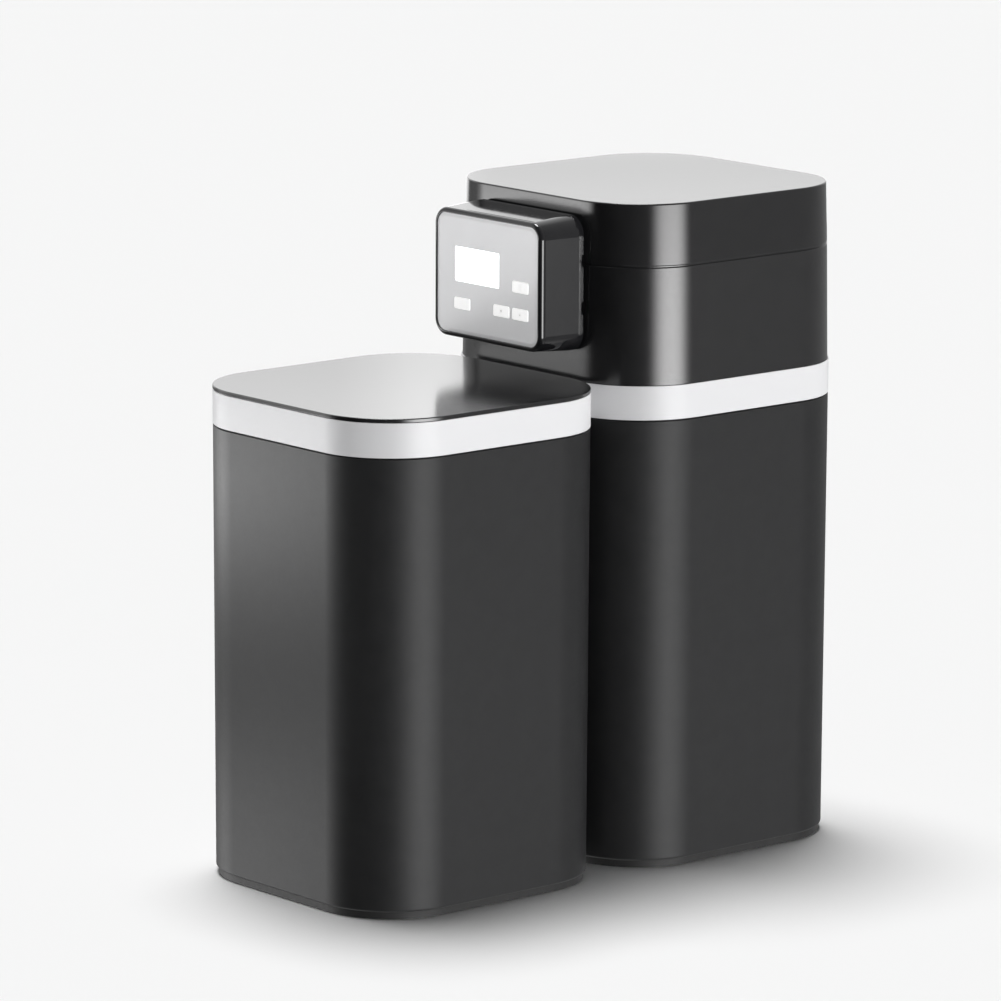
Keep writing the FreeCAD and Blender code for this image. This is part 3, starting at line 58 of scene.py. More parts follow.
# %% [markdown]
# ## The camera
# A product photographer stands far back with a long lens, so that upright edges stay nearly parallel.
# Here the camera is six metres away, looks down by eleven degrees and sees the front face at the left
# and the side face at the right. The direction is written as an azimuth and a pitch, because these
# two are easy to compare with a picture.

# %% Place the camera
AZIMUTH = math.radians(49.643)
PITCH = math.radians(11.117)
ROLL = math.radians(0.244)
DISTANCE = 6.176
TARGET = Vector((-0.03665, 0.0013, 0.3354))

level_back = Vector((math.sin(AZIMUTH), -math.cos(AZIMUTH), 0.0))
backward = level_back * math.cos(PITCH) + Vector((0.0, 0.0, math.sin(PITCH)))
level_right = Vector((math.cos(AZIMUTH), math.sin(AZIMUTH), 0.0))
level_up = backward.cross(level_right)
right = level_right * math.cos(ROLL) + level_up * math.sin(ROLL)
up = level_up * math.cos(ROLL) - level_right * math.sin(ROLL)


def add_object(name, data):
    """An object with its data, linked to the scene."""
    made = bpy.data.objects.new(name, data)
    bpy.context.scene.collection.objects.link(made)
    return made


camera_data = bpy.data.cameras.new("camera")
camera_data.sensor_width = 36.0
camera_data.lens = 231.8
camera_data.clip_end = 60.0
camera = add_object("camera", camera_data)
turn = Matrix((right, up, backward)).transposed().to_4x4()
camera.matrix_world = Matrix.Translation(TARGET + backward * DISTANCE) @ turn
bpy.context.scene.camera = camera
print("camera at", [round(c, 3) for c in camera.matrix_world.translation])

# %% [markdown]
# ## Building finishes from nodes
# Every finish below is one principled shader with a little procedural variation. A small helper makes
# the material and hands back its shader and node tree, and a second one adds the two things that
# moulded plastic always has: an uneven gloss and a fine grain that breaks up sharp reflections.
# Patterns read object coordinates, so they keep their real scale on every piece.


# %% Helpers for finishes
def new_finish(name, colour, roughness, metallic=0.0):
    finish = bpy.data.materials.new(name)
    finish.use_nodes = True
    shader = finish.node_tree.nodes["Principled BSDF"]
    shader.inputs["Base Color"].default_value = (*colour, 1.0)
    shader.inputs["Roughness"].default_value = roughness
    shader.inputs["Metallic"].default_value = metallic
    return finish, shader


def object_noise(tree, scale, detail=3.0, stretch=(1.0, 1.0, 1.0)):
    """Noise on object coordinates; scale is in waves per metre."""
    place = tree.nodes.new("ShaderNodeTexCoord")
    mapping = tree.nodes.new("ShaderNodeMapping")
    mapping.inputs["Scale"].default_value = stretch
    noise = tree.nodes.new("ShaderNodeTexNoise")
    noise.inputs["Scale"].default_value = scale
    noise.inputs["Detail"].default_value = detail
    tree.links.new(place.outputs["Object"], mapping.inputs["Vector"])
    tree.links.new(mapping.outputs["Vector"], noise.inputs["Vector"])
    return noise


def map_range(tree, value, low, high):
    spread = tree.nodes.new("ShaderNodeMapRange")
    spread.inputs["From Min"].default_value = 0.3
    spread.inputs["From Max"].default_value = 0.7
    spread.inputs["To Min"].default_value = low
    spread.inputs["To Max"].default_value = high
    tree.links.new(value, spread.inputs["Value"])
    return spread.outputs["Result"]


def uneven_gloss(finish, shader, scale, low, high):
    tree = finish.node_tree
    noise = object_noise(tree, scale)
    tree.links.new(map_range(tree, noise.outputs["Fac"], low, high), shader.inputs["Roughness"])


def mottled(finish, shader, scale, dark, light):
    tree = finish.node_tree
    noise = object_noise(tree, scale)
    ramp = tree.nodes.new("ShaderNodeValToRGB")
    ramp.color_ramp.elements[0].position = 0.3
    ramp.color_ramp.elements[0].color = (*dark, 1.0)
    ramp.color_ramp.elements[1].position = 0.7
    ramp.color_ramp.elements[1].color = (*light, 1.0)
    tree.links.new(noise.outputs["Fac"], ramp.inputs["Fac"])
    tree.links.new(ramp.outputs["Color"], shader.inputs["Base Color"])


def fine_grain(finish, shader, scale, height, stretch=(1.0, 1.0, 1.0)):
    tree = finish.node_tree
    noise = object_noise(tree, scale, 2.0, stretch)
    bump = tree.nodes.new("ShaderNodeBump")
    bump.inputs["Distance"].default_value = height
    bump.inputs["Strength"].default_value = 1.0
    tree.links.new(noise.outputs["Fac"], bump.inputs["Height"])
    tree.links.new(bump.outputs["Normal"], shader.inputs["Normal"])


def moulded(name, dark, light, rough_low, rough_high, grain_scale, grain_height, shine=0.5):
    """A moulded plastic: faintly mottled colour, uneven gloss and a fine surface grain."""
    finish, shader = new_finish(name, light, rough_high)
    shader.inputs["Specular IOR Level"].default_value = shine
    mottled(finish, shader, 60.0, dark, light)
    uneven_gloss(finish, shader, 250.0, rough_low, rough_high)
    fine_grain(finish, shader, grain_scale, grain_height)
    return finish


# %% [markdown]
# ## Black mouldings
# The lower cabinets have a spark-eroded texture that spreads a highlight into a broad soft streak.
# The covers and lids above the band are smoother, so the same light makes a narrower, brighter
# streak there. The pod is polished, and its edges draw thin bright lines.

# %% Mix the black finishes
body_black = moulded(
    "body black", (0.006, 0.006, 0.0065), (0.009, 0.009, 0.0095), 0.45, 0.49, 1800.0, 2e-5, 0.42
)
cover_black = moulded(
    "cover black", (0.004, 0.004, 0.0045), (0.006, 0.006, 0.0065), 0.21, 0.23, 2200.0, 2e-6, 0.75
)
lid_black = moulded(
    "lid black", (0.006, 0.006, 0.0065), (0.008, 0.008, 0.0085), 0.15, 0.165, 2200.0, 2e-6, 0.65
)
plinth_black = moulded(
    "plinth black", (0.008, 0.008, 0.008), (0.012, 0.012, 0.012), 0.50, 0.60, 1500.0, 3e-5
)
inner_black = moulded("inner black", (0.020, 0.020, 0.021), (0.030, 0.030, 0.031), 0.45, 0.55, 1500.0, 3e-5)
gloss_black = moulded("gloss black", (0.006, 0.006, 0.007), (0.008, 0.008, 0.009), 0.05, 0.09, 900.0, 1e-6)
rubber_black = moulded(
    "rubber black", (0.012, 0.012, 0.012), (0.020, 0.020, 0.020), 0.65, 0.80, 2500.0, 4e-5
)

# %% [markdown]
# ## Silver and white pieces
# The bands and the display fascia carry a silver paint with a fine flake. It is close to a pale grey
# plastic, so only a small metallic value is needed: the colour stays light where nothing bright is
# mirrored, and a low specular level keeps the cards from bleaching it. The keys are matte white
# silicone with a weak painted glow, an emission that makes them brighter than the lamps alone light
# them, and the display glows evenly.

# %% Mix the silver and white finishes
band_silver, shader = new_finish("band silver", (0.59, 0.59, 0.60), 0.42, 0.05)
shader.inputs["Specular IOR Level"].default_value = 0.35
uneven_gloss(band_silver, shader, 200.0, 0.38, 0.46)
fine_grain(band_silver, shader, 3000.0, 6e-6, (1.0, 1.0, 0.2))

fascia_silver, shader = new_finish("fascia silver", (0.62, 0.62, 0.63), 0.38, 0.12)
uneven_gloss(fascia_silver, shader, 60.0, 0.34, 0.42)
fine_grain(fascia_silver, shader, 3500.0, 4e-6)

key_white = moulded("key white", (0.86, 0.86, 0.85), (0.92, 0.92, 0.91), 0.50, 0.60, 2500.0, 1e-5)
# The keys' emission is a painted glow: they are no lamp, it only makes them read brighter.
key_white.node_tree.nodes["Principled BSDF"].inputs["Emission Color"].default_value = (1.0, 1.0, 1.0, 1.0)
key_white.node_tree.nodes["Principled BSDF"].inputs["Emission Strength"].default_value = 0.35
natural_white = moulded("natural white", (0.70, 0.70, 0.67), (0.78, 0.78, 0.75), 0.38, 0.50, 1200.0, 2e-5)
gear_acetal = moulded("gear acetal", (0.70, 0.68, 0.62), (0.78, 0.76, 0.70), 0.30, 0.40, 1500.0, 1e-5)
ceramic_white = moulded("lapped ceramic", (0.80, 0.80, 0.77), (0.86, 0.86, 0.83), 0.12, 0.20, 800.0, 2e-6)

# %% [markdown]
# ## Finishes of the inner pieces
# With the top cover lifted one looks down on the valve head, so its pieces get finishes of their own:
# a dark glass-filled casting, green circuit boards, bright steel, and the wound shell of the vessel
# with its slanting bands of fibre.

# %% Mix the inner finishes
valve_black = moulded(
    "valve casting", (0.018, 0.018, 0.020), (0.035, 0.035, 0.037), 0.42, 0.55, 700.0, 5e-5
)
nozzle_blue = moulded("nozzle blue", (0.03, 0.09, 0.30), (0.04, 0.12, 0.38), 0.35, 0.45, 1500.0, 1e-5)
ball_red = moulded("ball red", (0.22, 0.02, 0.02), (0.28, 0.03, 0.03), 0.35, 0.45, 1500.0, 1e-5)
board_green = moulded("board green", (0.010, 0.080, 0.030), (0.015, 0.110, 0.045), 0.28, 0.36, 900.0, 2e-5)
resin_amber = moulded("resin amber", (0.30, 0.13, 0.03), (0.50, 0.26, 0.07), 0.30, 0.45, 1600.0, 0.0003)

steel_bright, shader = new_finish("bright steel", (0.58, 0.58, 0.59), 0.28, 1.0)
uneven_gloss(steel_bright, shader, 120.0, 0.22, 0.34)
fine_grain(steel_bright, shader, 1500.0, 8e-6, (1.0, 1.0, 0.1))

vessel_blue, shader = new_finish("wound vessel", (0.05, 0.10, 0.17), 0.35)
mottled(vessel_blue, shader, 25.0, (0.035, 0.075, 0.13), (0.06, 0.12, 0.20))
fine_grain(vessel_blue, shader, 180.0, 0.0003, (1.0, 1.0, 6.0))

tube_clear, shader = new_finish("milky tube", (0.80, 0.82, 0.82), 0.25)
shader.inputs["Transmission Weight"].default_value = 0.35
uneven_gloss(tube_clear, shader, 90.0, 0.20, 0.32)

window_clear, shader = new_finish("display window", (0.96, 0.97, 0.98), 0.03)
shader.inputs["Transmission Weight"].default_value = 1.0
shader.inputs["IOR"].default_value = 1.3
uneven_gloss(window_clear, shader, 200.0, 0.02, 0.04)

display_glow, shader = new_finish("display glow", (0.90, 0.93, 0.94), 0.5)
shader.inputs["Emission Color"].default_value = (1.0, 1.0, 1.0, 1.0)
shader.inputs["Emission Strength"].default_value = 1.0
mottled(display_glow, shader, 40.0, (0.88, 0.91, 0.92), (0.92, 0.95, 0.96))

# %% [markdown]
# ## Giving the frame's pieces their finishes
# The record already sorts the nodes into material slots, so the pieces that stay as they are take a
# finish by slot. A table from slot to finish is short, and no piece can be forgotten: a slot without a
# finish would stop the script here.

# %% Dress the nodes by slot
slot_finish = {
    "body_black": body_black,
    "cover_black": cover_black,
    "band_silver": band_silver,
    "plinth_black": plinth_black,
    "pod_gloss": gloss_black,
    "pod_back_black": inner_black,
    "fascia_silver": fascia_silver,
    "key_white": key_white,
    "lcd_glass": window_clear,
    "lcd_body": display_glow,
    "circuit_board": board_green,
    "white_plastic": natural_white,
    "valve_plastic": valve_black,
    "nozzle_colour": nozzle_blue,
    "gear_plastic": gear_acetal,
    "disc_ceramic": ceramic_white,
    "ball_plastic": ball_red,
    "steel_screws": steel_bright,
    "vessel_shell": vessel_blue,
    "resin_beads": resin_amber,
    "tube_clear": tube_clear,
    "rubber_black": rubber_black,
}
for entry in frame["record"]["subparts"]:
    mesh = nodes[entry["node"]].data
    mesh.materials.clear()
    mesh.materials.append(slot_finish[entry["material_slot"]])
nodes["pod_back"].data.materials[0] = gloss_black

# %% [markdown]
# ## Sweeping a wall section round an outline
# Each cabinet piece is a thin wall whose section stays the same all the way round a square with
# large round corners. On paper one would draw that section, soften its corners and sweep it. The same
# is done here: a section is a list of (inset, height) points, where inset is how far the wall is drawn
# in from the widest outline. A grid face with bevelled corners gives the first closed loop of
# edges. For each further point the loop is extruded, and its new vertices slide in along their
# own outward direction. The corner centres stay where they are, so the wall keeps its thickness in
# the corners too.

# %% The wall sweep
CORNER_STEPS = 20
SHARP = math.radians(32)
EASE_ANGLE = math.radians(50)


def soften(points, radii, steps=4):
    """Rounds the corners of an open section; radii gives one radius per point, 0 for a sharp one."""
    line = []
    for index, point in enumerate(points):
        here = Vector(point)
        radius = radii.get(index, 0.0)
        if radius == 0.0:
            line.append(tuple(here))
            continue
        before = (Vector(points[index - 1]) - here).normalized()
        after = (Vector(points[(index + 1) % len(points)]) - here).normalized()
        half = before.angle(after) / 2
        centre = here + (before + after).normalized() * (radius / math.sin(half))
        start = here + before * (radius / math.tan(half)) - centre
        end = here + after * (radius / math.tan(half)) - centre
        sweep = start.angle(end)
        for step in range(steps + 1):
            share = step / steps
            part = start * math.sin((1 - share) * sweep) + end * math.sin(share * sweep)
            line.append(tuple(centre + part / math.sin(sweep)))
    return line


def supported(points, margin=0.0006, longest=0.006):
    """Adds a point near both ends of each long run, so that flat stretches shade flat."""
    line = [points[0]]
    for first, second in zip(points, points[1:]):
        a, b = Vector(first), Vector(second)
        length = (b - a).length
        if length > longest:
            line.append(tuple(a.lerp(b, margin / length)))
            line.append(tuple(b.lerp(a, margin / length)))
        line.append(second)
    return line


def outline_face(mesh, half_x, half_y, corner, height, steps):
    """One level face: a rectangle with round corners."""
    verts = bmesh.ops.create_grid(mesh, x_segments=1, y_segments=1, size=1.0)["verts"]
    bmesh.ops.scale(mesh, vec=(half_x, half_y, 1.0), verts=verts)
    bmesh.ops.translate(mesh, vec=(0.0, 0.0, height), verts=verts)
    bmesh.ops.bevel(
        mesh,
        geom=verts,
        offset=corner,
        offset_type="OFFSET",
        affect="VERTICES",
        segments=steps,
        profile=0.5,
        material=-1,
    )
    mesh.faces.ensure_lookup_table()
    return mesh.faces[-1]


def sweep_wall(section, half_x, half_y, corner, ends="caps", steps=CORNER_STEPS):
    """A bmesh swept from (inset, height) points; ends are capped, or joined into a ring."""
    mesh = bmesh.new()
    inset, height = section[0]
    centre = Vector((half_x - corner, half_y - corner, 0.0))
    face = outline_face(mesh, half_x - inset, half_y - inset, corner - inset, height, steps)
    first = loop = list(face.edges)
    bmesh.ops.delete(mesh, geom=[face], context="FACES_ONLY")
    for next_inset, next_height in section[1:] + ([section[0]] if ends == "ring" else []):
        grown = bmesh.ops.extrude_edge_only(mesh, edges=loop)["geom"]
        fresh = [v for v in grown if isinstance(v, bmesh.types.BMVert)]
        loop = [e for e in grown if isinstance(e, bmesh.types.BMEdge) and all(v in fresh for v in e.verts)]
        for vert in fresh:
            home = Vector(
                (math.copysign(centre.x, vert.co.x), math.copysign(centre.y, vert.co.y), vert.co.z)
            )
            vert.co += (vert.co - home).normalized() * (inset - next_inset)
            vert.co.z = next_height
        inset = next_inset
    if ends == "ring":
        bmesh.ops.remove_doubles(mesh, verts=mesh.verts, dist=1e-7)
    else:
        bmesh.ops.edgeloop_fill(mesh, edges=first)
        bmesh.ops.edgeloop_fill(mesh, edges=loop)
    bmesh.ops.recalc_face_normals(mesh, faces=mesh.faces)
    return mesh


def crease(mesh):
    """Smooth faces, with a sharp crease wherever two faces meet at more than a slight angle."""
    for face in mesh.faces:
        face.smooth = True
    for edge in mesh.edges:
        edge.smooth = not (len(edge.link_faces) == 2 and edge.calc_face_angle(0.0) > SHARP)


def mesh_data(name, mesh):
    """Turns a bmesh into mesh data and frees it."""
    data = bpy.data.meshes.new(name)
    mesh.to_mesh(data)
    mesh.free()
    return data


def make_piece(name, mesh, finish, body, replaced=(), ease=0.0):
    """Turns a bmesh into a finished object that rides on a body; ease rounds its sharp edges."""
    crease(mesh)
    data = mesh_data(name, mesh)
    data.materials.append(finish)
    piece = add_object(name, data)
    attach(piece, body)
    for node in replaced:
        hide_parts(node)
    if ease > 0.0:
        soft = piece.modifiers.new("eased edges", "BEVEL")
        soft.width = ease
        soft.segments = 2
        soft.limit_method = "ANGLE"
        soft.angle_limit = EASE_ANGLE
    shade = piece.modifiers.new("even shading", "WEIGHTED_NORMAL")
    shade.keep_sharp = True
    print(name, len(data.polygons), "faces")
    return piece


# %% [markdown]
# ## Holes and bosses
# Holes through a finished wall are made as a workshop would make them: a cutter with the hole's shape
# is taken away from the piece. The Boolean is applied at once, so the piece keeps a plain mesh, and
# the same helper joins a boss to a wall when it is told to unite.


# %% Cut a hole or join a boss
def carve(piece, cutter, operation="DIFFERENCE"):
    """Takes a closed bmesh out of a piece, or unites it with the piece, for good."""
    bmesh.ops.recalc_face_normals(cutter, faces=cutter.faces)
    tool = add_object("cutter", mesh_data("cutter", cutter))
    for later in piece.modifiers:
        later.show_viewport = False
    step = piece.modifiers.new("cut", "BOOLEAN")
    step.operation = operation
    step.solver = "EXACT"
    step.object = tool
    bpy.context.view_layer.update()
    data = bpy.data.meshes.new_from_object(piece.evaluated_get(bpy.context.evaluated_depsgraph_get()))
    piece.modifiers.remove(step)
    for later in piece.modifiers:
        later.show_viewport = True
    shape = bmesh.new()
    shape.from_mesh(data)
    crease(shape)
    shape.to_mesh(data)
    shape.free()
    piece.data = data
    bpy.data.objects.remove(tool)


def pin(radius, start, end, segments=48):
    """A closed cylinder between two points."""
    mesh = bmesh.new()
    bmesh.ops.create_cone(
        mesh, cap_ends=True, segments=segments, radius1=radius, radius2=radius, depth=(end - start).length
    )
    aim = (end - start).normalized().to_track_quat("Z", "Y").to_matrix()
    bmesh.ops.rotate(mesh, matrix=aim, verts=mesh.verts)
    bmesh.ops.translate(mesh, vec=(start + end) / 2, verts=mesh.verts)
    return mesh


def stand_up(mesh, centre):
    """Turns a swept shape so that its height points to -Y, and moves it to its centre."""
    bmesh.ops.rotate(mesh, matrix=Matrix.Rotation(math.pi / 2, 3, "X"), verts=mesh.verts)
    bmesh.ops.translate(mesh, vec=centre, verts=mesh.verts)
    return mesh


def tunnel(low, high, corner):
    """A closed prism along Y between two opposite corners, with round corners."""
    half = (high - low) / 2
    prism = sweep_wall([(0.0, -half.y), (0.0, half.y)], half.x, half.z, corner, steps=8)
    return stand_up(prism, (low + high) / 2)


# %% [markdown]
# ## Sizes read from the frame
# The salt cabinet and the resin cabinet share one moulding. Their outline is read from the bands, the
# widest pieces, and every level from the node that has it. Only what the frame's boxes can't tell,
# such as a wall's thickness or the corner radius, is written here in millimetres.

# %% Read the main sizes
MM = 0.001
CORNER = 81 * MM
WALL = 3 * MM

band_low, band_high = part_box("brine_band")
half_x = (band_high.x - band_low.x) / 2
half_y = (band_high.y - band_low.y) / 2
salt_y = (band_high.y + band_low.y) / 2
rim = band_high.z
resin_low, resin_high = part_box("resin_band")
resin_y = (resin_high.y + resin_low.y) / 2
print("half sizes", half_x, half_y, "centres", salt_y, resin_y, "rim", rim)


def place(mesh, centre_y):
    bmesh.ops.translate(mesh, vec=(0.0, centre_y, 0.0), verts=mesh.verts)
    return mesh


# %% [markdown]
# ## The two cabinet bodies
# The body is an open box with drafted walls: it narrows by under three millimetres towards the floor,
# and its lower edge is rounded before the set-back plinth. Near the top it steps in behind the band.
# The section runs from the underside, up the outer wall, over the rim and down the inner wall to the
# floor, and both ends are capped. The tube that joins the cabinets passes through both facing
# walls, so round holes are cut there, and one more for the overflow bush.

# %% Sweep the cabinet bodies
FOOT_INSET = 2.8 * MM
SHOULDER_INSET = 1.5 * MM
NECK_INSET = 2.1 * MM
GROOVE_INSET = 3.4 * MM
GROOVE_HEIGHT = 1.3 * MM
BAND_TUCK = 0.5 * MM
FOOT_ROUND = 2.0 * MM
PLINTH_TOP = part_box("brine_plinth")[1].z
FLOOR_TOP = PLINTH_TOP + WALL
BAND_BOTTOM = band_low.z


def cabinet_section():
    corners = [
        (FOOT_INSET + 4 * MM, PLINTH_TOP),
        (FOOT_INSET, PLINTH_TOP),
        (SHOULDER_INSET, BAND_BOTTOM - GROOVE_HEIGHT),
        (GROOVE_INSET, BAND_BOTTOM - GROOVE_HEIGHT),
        (GROOVE_INSET, BAND_BOTTOM + BAND_TUCK),
        (NECK_INSET, BAND_BOTTOM + BAND_TUCK),
        (NECK_INSET, rim),
        (NECK_INSET + WALL, rim),
        (FOOT_INSET + WALL, FLOOR_TOP),
        (FOOT_INSET + WALL + 6 * MM, FLOOR_TOP),
    ]
    radii = {1: FOOT_ROUND, 2: 0.5 * MM, 6: 0.6 * MM, 7: 0.6 * MM, 8: 3 * MM}
    return supported(soften(corners, radii))


bush_low, bush_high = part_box("line_bushes")
line_x = (bush_low.x + bush_high.x) / 2
line_z = (bush_low.z + bush_high.z) / 2
LINE_HOLE = 6.4 * MM
LINE_REACH = 75 * MM
OVERFLOW_HOLE = 10.5 * MM
OVERFLOW_REACH = Vector((40 * MM, 0, 0))

for node, name, centre in (
    ("brine_tank", "salt_cabinet_body", salt_y),
    ("resin_cabinet", "resin_cabinet_body", resin_y),
):
    wall = place(sweep_wall(cabinet_section(), half_x, half_y, CORNER), centre)
    body = make_piece(name, wall, body_black, "cabinets", [node])
    near = Vector((line_x, -LINE_REACH, line_z))
    carve(body, pin(LINE_HOLE, near, Vector((line_x, LINE_REACH, line_z))))
    if node == "brine_tank":
        bush_low, bush_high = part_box("overflow_grommet")
        middle = (bush_low + bush_high) / 2
        carve(body, pin(OVERFLOW_HOLE, middle - OVERFLOW_REACH, middle + OVERFLOW_REACH))

# %% [markdown]
# ## Silver bands
# The band is a thin hoop that hides the joint between the body and its neck. Its two edges are
# rolled slightly, which gives the fine lines of light along them.

# %% Sweep the bands
BAND_INSET = 1.2 * MM
BAND_THICKNESS = 0.8 * MM

BAND_ROUND = 0.4 * MM
section = [
    (BAND_INSET + BAND_THICKNESS, BAND_BOTTOM),
    (BAND_INSET, BAND_BOTTOM),
    (BAND_INSET, rim),
    (BAND_INSET + BAND_THICKNESS, rim),
]
section = supported(soften(section, {1: BAND_ROUND, 2: BAND_ROUND}))

for node, name, centre in (
    ("brine_band", "salt_band", salt_y), ("resin_band", "resin_cabinet_band", resin_y)
):
    ring = place(sweep_wall(section, half_x, half_y, CORNER, "ring"), centre)
    make_piece(name, ring, band_silver, "cabinets", [node])

# %% [markdown]
# ## The salt lid
# The lid lies flush on the band: a flat plate with a small round at its edge and, underneath, a
# locating lip that drops inside the rim. One section draws both. The plate's top and the underside
# between the lips are capped faces, and two crossed ribs stiffen the plate from below.

# %% Sweep the salt lid
lid_low, lid_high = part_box("brine_lid")
LID_SEAT = rim + 0.2 * MM
LIP_OUTER = NECK_INSET + WALL + 0.4 * MM
LIP_INNER = LIP_OUTER + 2 * MM
LID_UNDER = lid_high.z - 2.5 * MM
section = [
    (LIP_INNER + 4 * MM, LID_UNDER),
    (LIP_INNER, LID_UNDER),
    (LIP_INNER, lid_low.z),
    (LIP_OUTER, lid_low.z),
    (LIP_OUTER, LID_SEAT),
    (BAND_INSET, LID_SEAT),
    (BAND_INSET, lid_high.z),
    (6 * MM, lid_high.z),
]
radii = {2: 0.6 * MM, 3: 0.6 * MM, 5: 0.4 * MM, 6: 1.0 * MM}
salt_lid_mesh = place(sweep_wall(supported(soften(section, radii, 5)), half_x, half_y, CORNER), salt_y)
make_piece("salt_lid_plate", salt_lid_mesh, lid_black, "salt_lid", ["brine_lid"])

RIB_HALF = 0.8 * MM
RIB_DROP = 5 * MM
RIB_EASE = 0.3 * MM


def add_bar(mesh, size, middle):
    """Adds a box with its size and its middle."""
    bar = bmesh.ops.create_cube(mesh, size=1.0)["verts"]
    bmesh.ops.scale(mesh, vec=size, verts=bar)
    bmesh.ops.translate(mesh, vec=middle, verts=bar)


def ease_ribs(mesh):
    bmesh.ops.bevel(
        mesh, geom=mesh.edges[:], offset=RIB_EASE, affect="EDGES", segments=2, profile=0.5, material=-1
    )


ribs = bmesh.new()
for half_size in ((RIB_HALF, half_y - LIP_INNER), (half_x - LIP_INNER, RIB_HALF)):
    size = (2 * half_size[0], 2 * half_size[1], RIB_DROP)
    add_bar(ribs, size, (0.0, salt_y, LID_UNDER - RIB_DROP / 2))
ease_ribs(ribs)
make_piece("salt_lid_ribs", ribs, lid_black, "salt_lid")

# %% [markdown]
# ## The head cover
# Above the band of the tall cabinet a drafted wall rises round the valve. It sits on the rim with a
# small ledge, drops a lip inside it, and ends in a rebate, so that a fine dark line is left under the
# lid. Behind, a wide opening lets the water pipes in, and in front a window lets the pod's arm out.

# %% Sweep the head cover
cover_low, cover_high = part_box("head_cover")
top_low, top_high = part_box("head_lid")
SEAM = cover_high.z
COVER_INSET = half_x - cover_high.x + BAND_INSET
SEAM_INSET = half_x - top_high.x + BAND_INSET
REBATE_HEIGHT = 1.3 * MM
REBATE_DEPTH = 2.0 * MM
LEDGE_HEIGHT = 2.0 * MM
section = [
    (COVER_INSET, rim),
    (SEAM_INSET, SEAM - REBATE_HEIGHT),
    (SEAM_INSET + REBATE_DEPTH, SEAM - REBATE_HEIGHT),
    (SEAM_INSET + REBATE_DEPTH, SEAM),
    (SEAM_INSET + WALL, SEAM),
    (COVER_INSET + WALL, rim + LEDGE_HEIGHT),
    (LIP_INNER, rim + LEDGE_HEIGHT),
    (LIP_INNER, cover_low.z),
    (LIP_OUTER, cover_low.z),
    (LIP_OUTER, rim),
]
radii = {0: 0.4 * MM, 1: 0.5 * MM, 7: 0.5 * MM, 8: 0.5 * MM}
EDGE_EASE = 0.3 * MM
ring = place(sweep_wall(supported(soften(section, radii)), half_x, half_y, CORNER, "ring"), resin_y)
head_cover = make_piece(
    "head_cover_wall", ring, cover_black, "cabinets", ["head_cover"], ease=EDGE_EASE
)

# %% [markdown]
# The pipe opening is 156 mm wide and 74 mm high with round corners. The window for the arm is open
# towards the top, because the lid closes it from above. The bush for the low-voltage lead gets a
# round hole of its own.

# %% Cut the cover's openings
duct_low, duct_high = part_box("pod_duct")
gland_low, gland_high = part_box("power_gland")
BAY_HALF = 78 * MM
BAY_LOW = rim + 6 * MM
BAY_HIGH = BAY_LOW + 74 * MM
BAY_CORNER = 10 * MM
WINDOW_MARGIN = 2 * MM
FRONT_Y = resin_y - half_y - 10 * MM
WINDOW_BACK = resin_y - CORNER
WINDOW_LOW = duct_low.z - 5 * MM

bay_near = Vector((-BAY_HALF, resin_y + 90 * MM, BAY_LOW))
bay_far = Vector((BAY_HALF, resin_y + 200 * MM, BAY_HIGH))
carve(head_cover, tunnel(bay_near, bay_far, BAY_CORNER))


def arm_window(top):
    low = Vector((duct_low.x - WINDOW_MARGIN, FRONT_Y, WINDOW_LOW))
    return tunnel(low, Vector((duct_high.x + WINDOW_MARGIN, WINDOW_BACK, top)), 0.5 * MM)


carve(head_cover, arm_window(SEAM + 5 * MM))
GLAND_HOLE = 6 * MM
GLAND_REACH = Vector((0, 30 * MM, 0))
gland = (gland_low + gland_high) / 2
carve(head_cover, pin(GLAND_HOLE, gland - GLAND_REACH, gland + GLAND_REACH))
print("openings cut, gland at", [round(c, 4) for c in gland])

# %% [markdown]
# ## The head lid
# The lid is a shallow upside-down tray. Its side carries on the slope of the cover, its top edge has
# a small round, and a double wall inside slips into the cover. Three ribs keep the top flat.

# %% Sweep the head lid
TOP_DRAFT = 1.6 * MM
TOP_INSET = SEAM_INSET + TOP_DRAFT
LID_BASE = SEAM + 0.2 * MM
HOOK_ROOT = SEAM + 2 * MM
HOOK_TOP = SEAM + 10 * MM
HOOK_START = SEAM_INSET + WALL + 0.4 * MM
HOOK_END = HOOK_START + 2 * MM
INNER_SLOPE = TOP_DRAFT / (top_high.z - WALL - LID_BASE)


def inner_inset(height):
    return SEAM_INSET + WALL + INNER_SLOPE * (height - LID_BASE)


section = [
    (TOP_INSET + WALL + 6 * MM, top_high.z - WALL),
    (TOP_INSET + WALL, top_high.z - WALL),
    (inner_inset(HOOK_TOP), HOOK_TOP),
    (HOOK_END, HOOK_TOP),
    (HOOK_END, top_low.z),
    (HOOK_START, top_low.z),
    (HOOK_START, HOOK_ROOT),
    (inner_inset(HOOK_ROOT), HOOK_ROOT),
    (SEAM_INSET + WALL, LID_BASE),
    (SEAM_INSET, LID_BASE),
    (TOP_INSET, top_high.z),
    (TOP_INSET + 6 * MM, top_high.z),
]
radii = {1: 1.5 * MM, 4: 0.5 * MM, 5: 0.5 * MM, 9: 1.0 * MM, 10: 1.2 * MM}
head_lid_mesh = place(sweep_wall(supported(soften(section, radii, 5)), half_x, half_y, CORNER), resin_y)
head_lid = make_piece(
    "head_lid_top", head_lid_mesh, lid_black, "head_top", ["head_lid"], ease=EDGE_EASE
)
carve(head_lid, arm_window(duct_high.z + WINDOW_MARGIN))

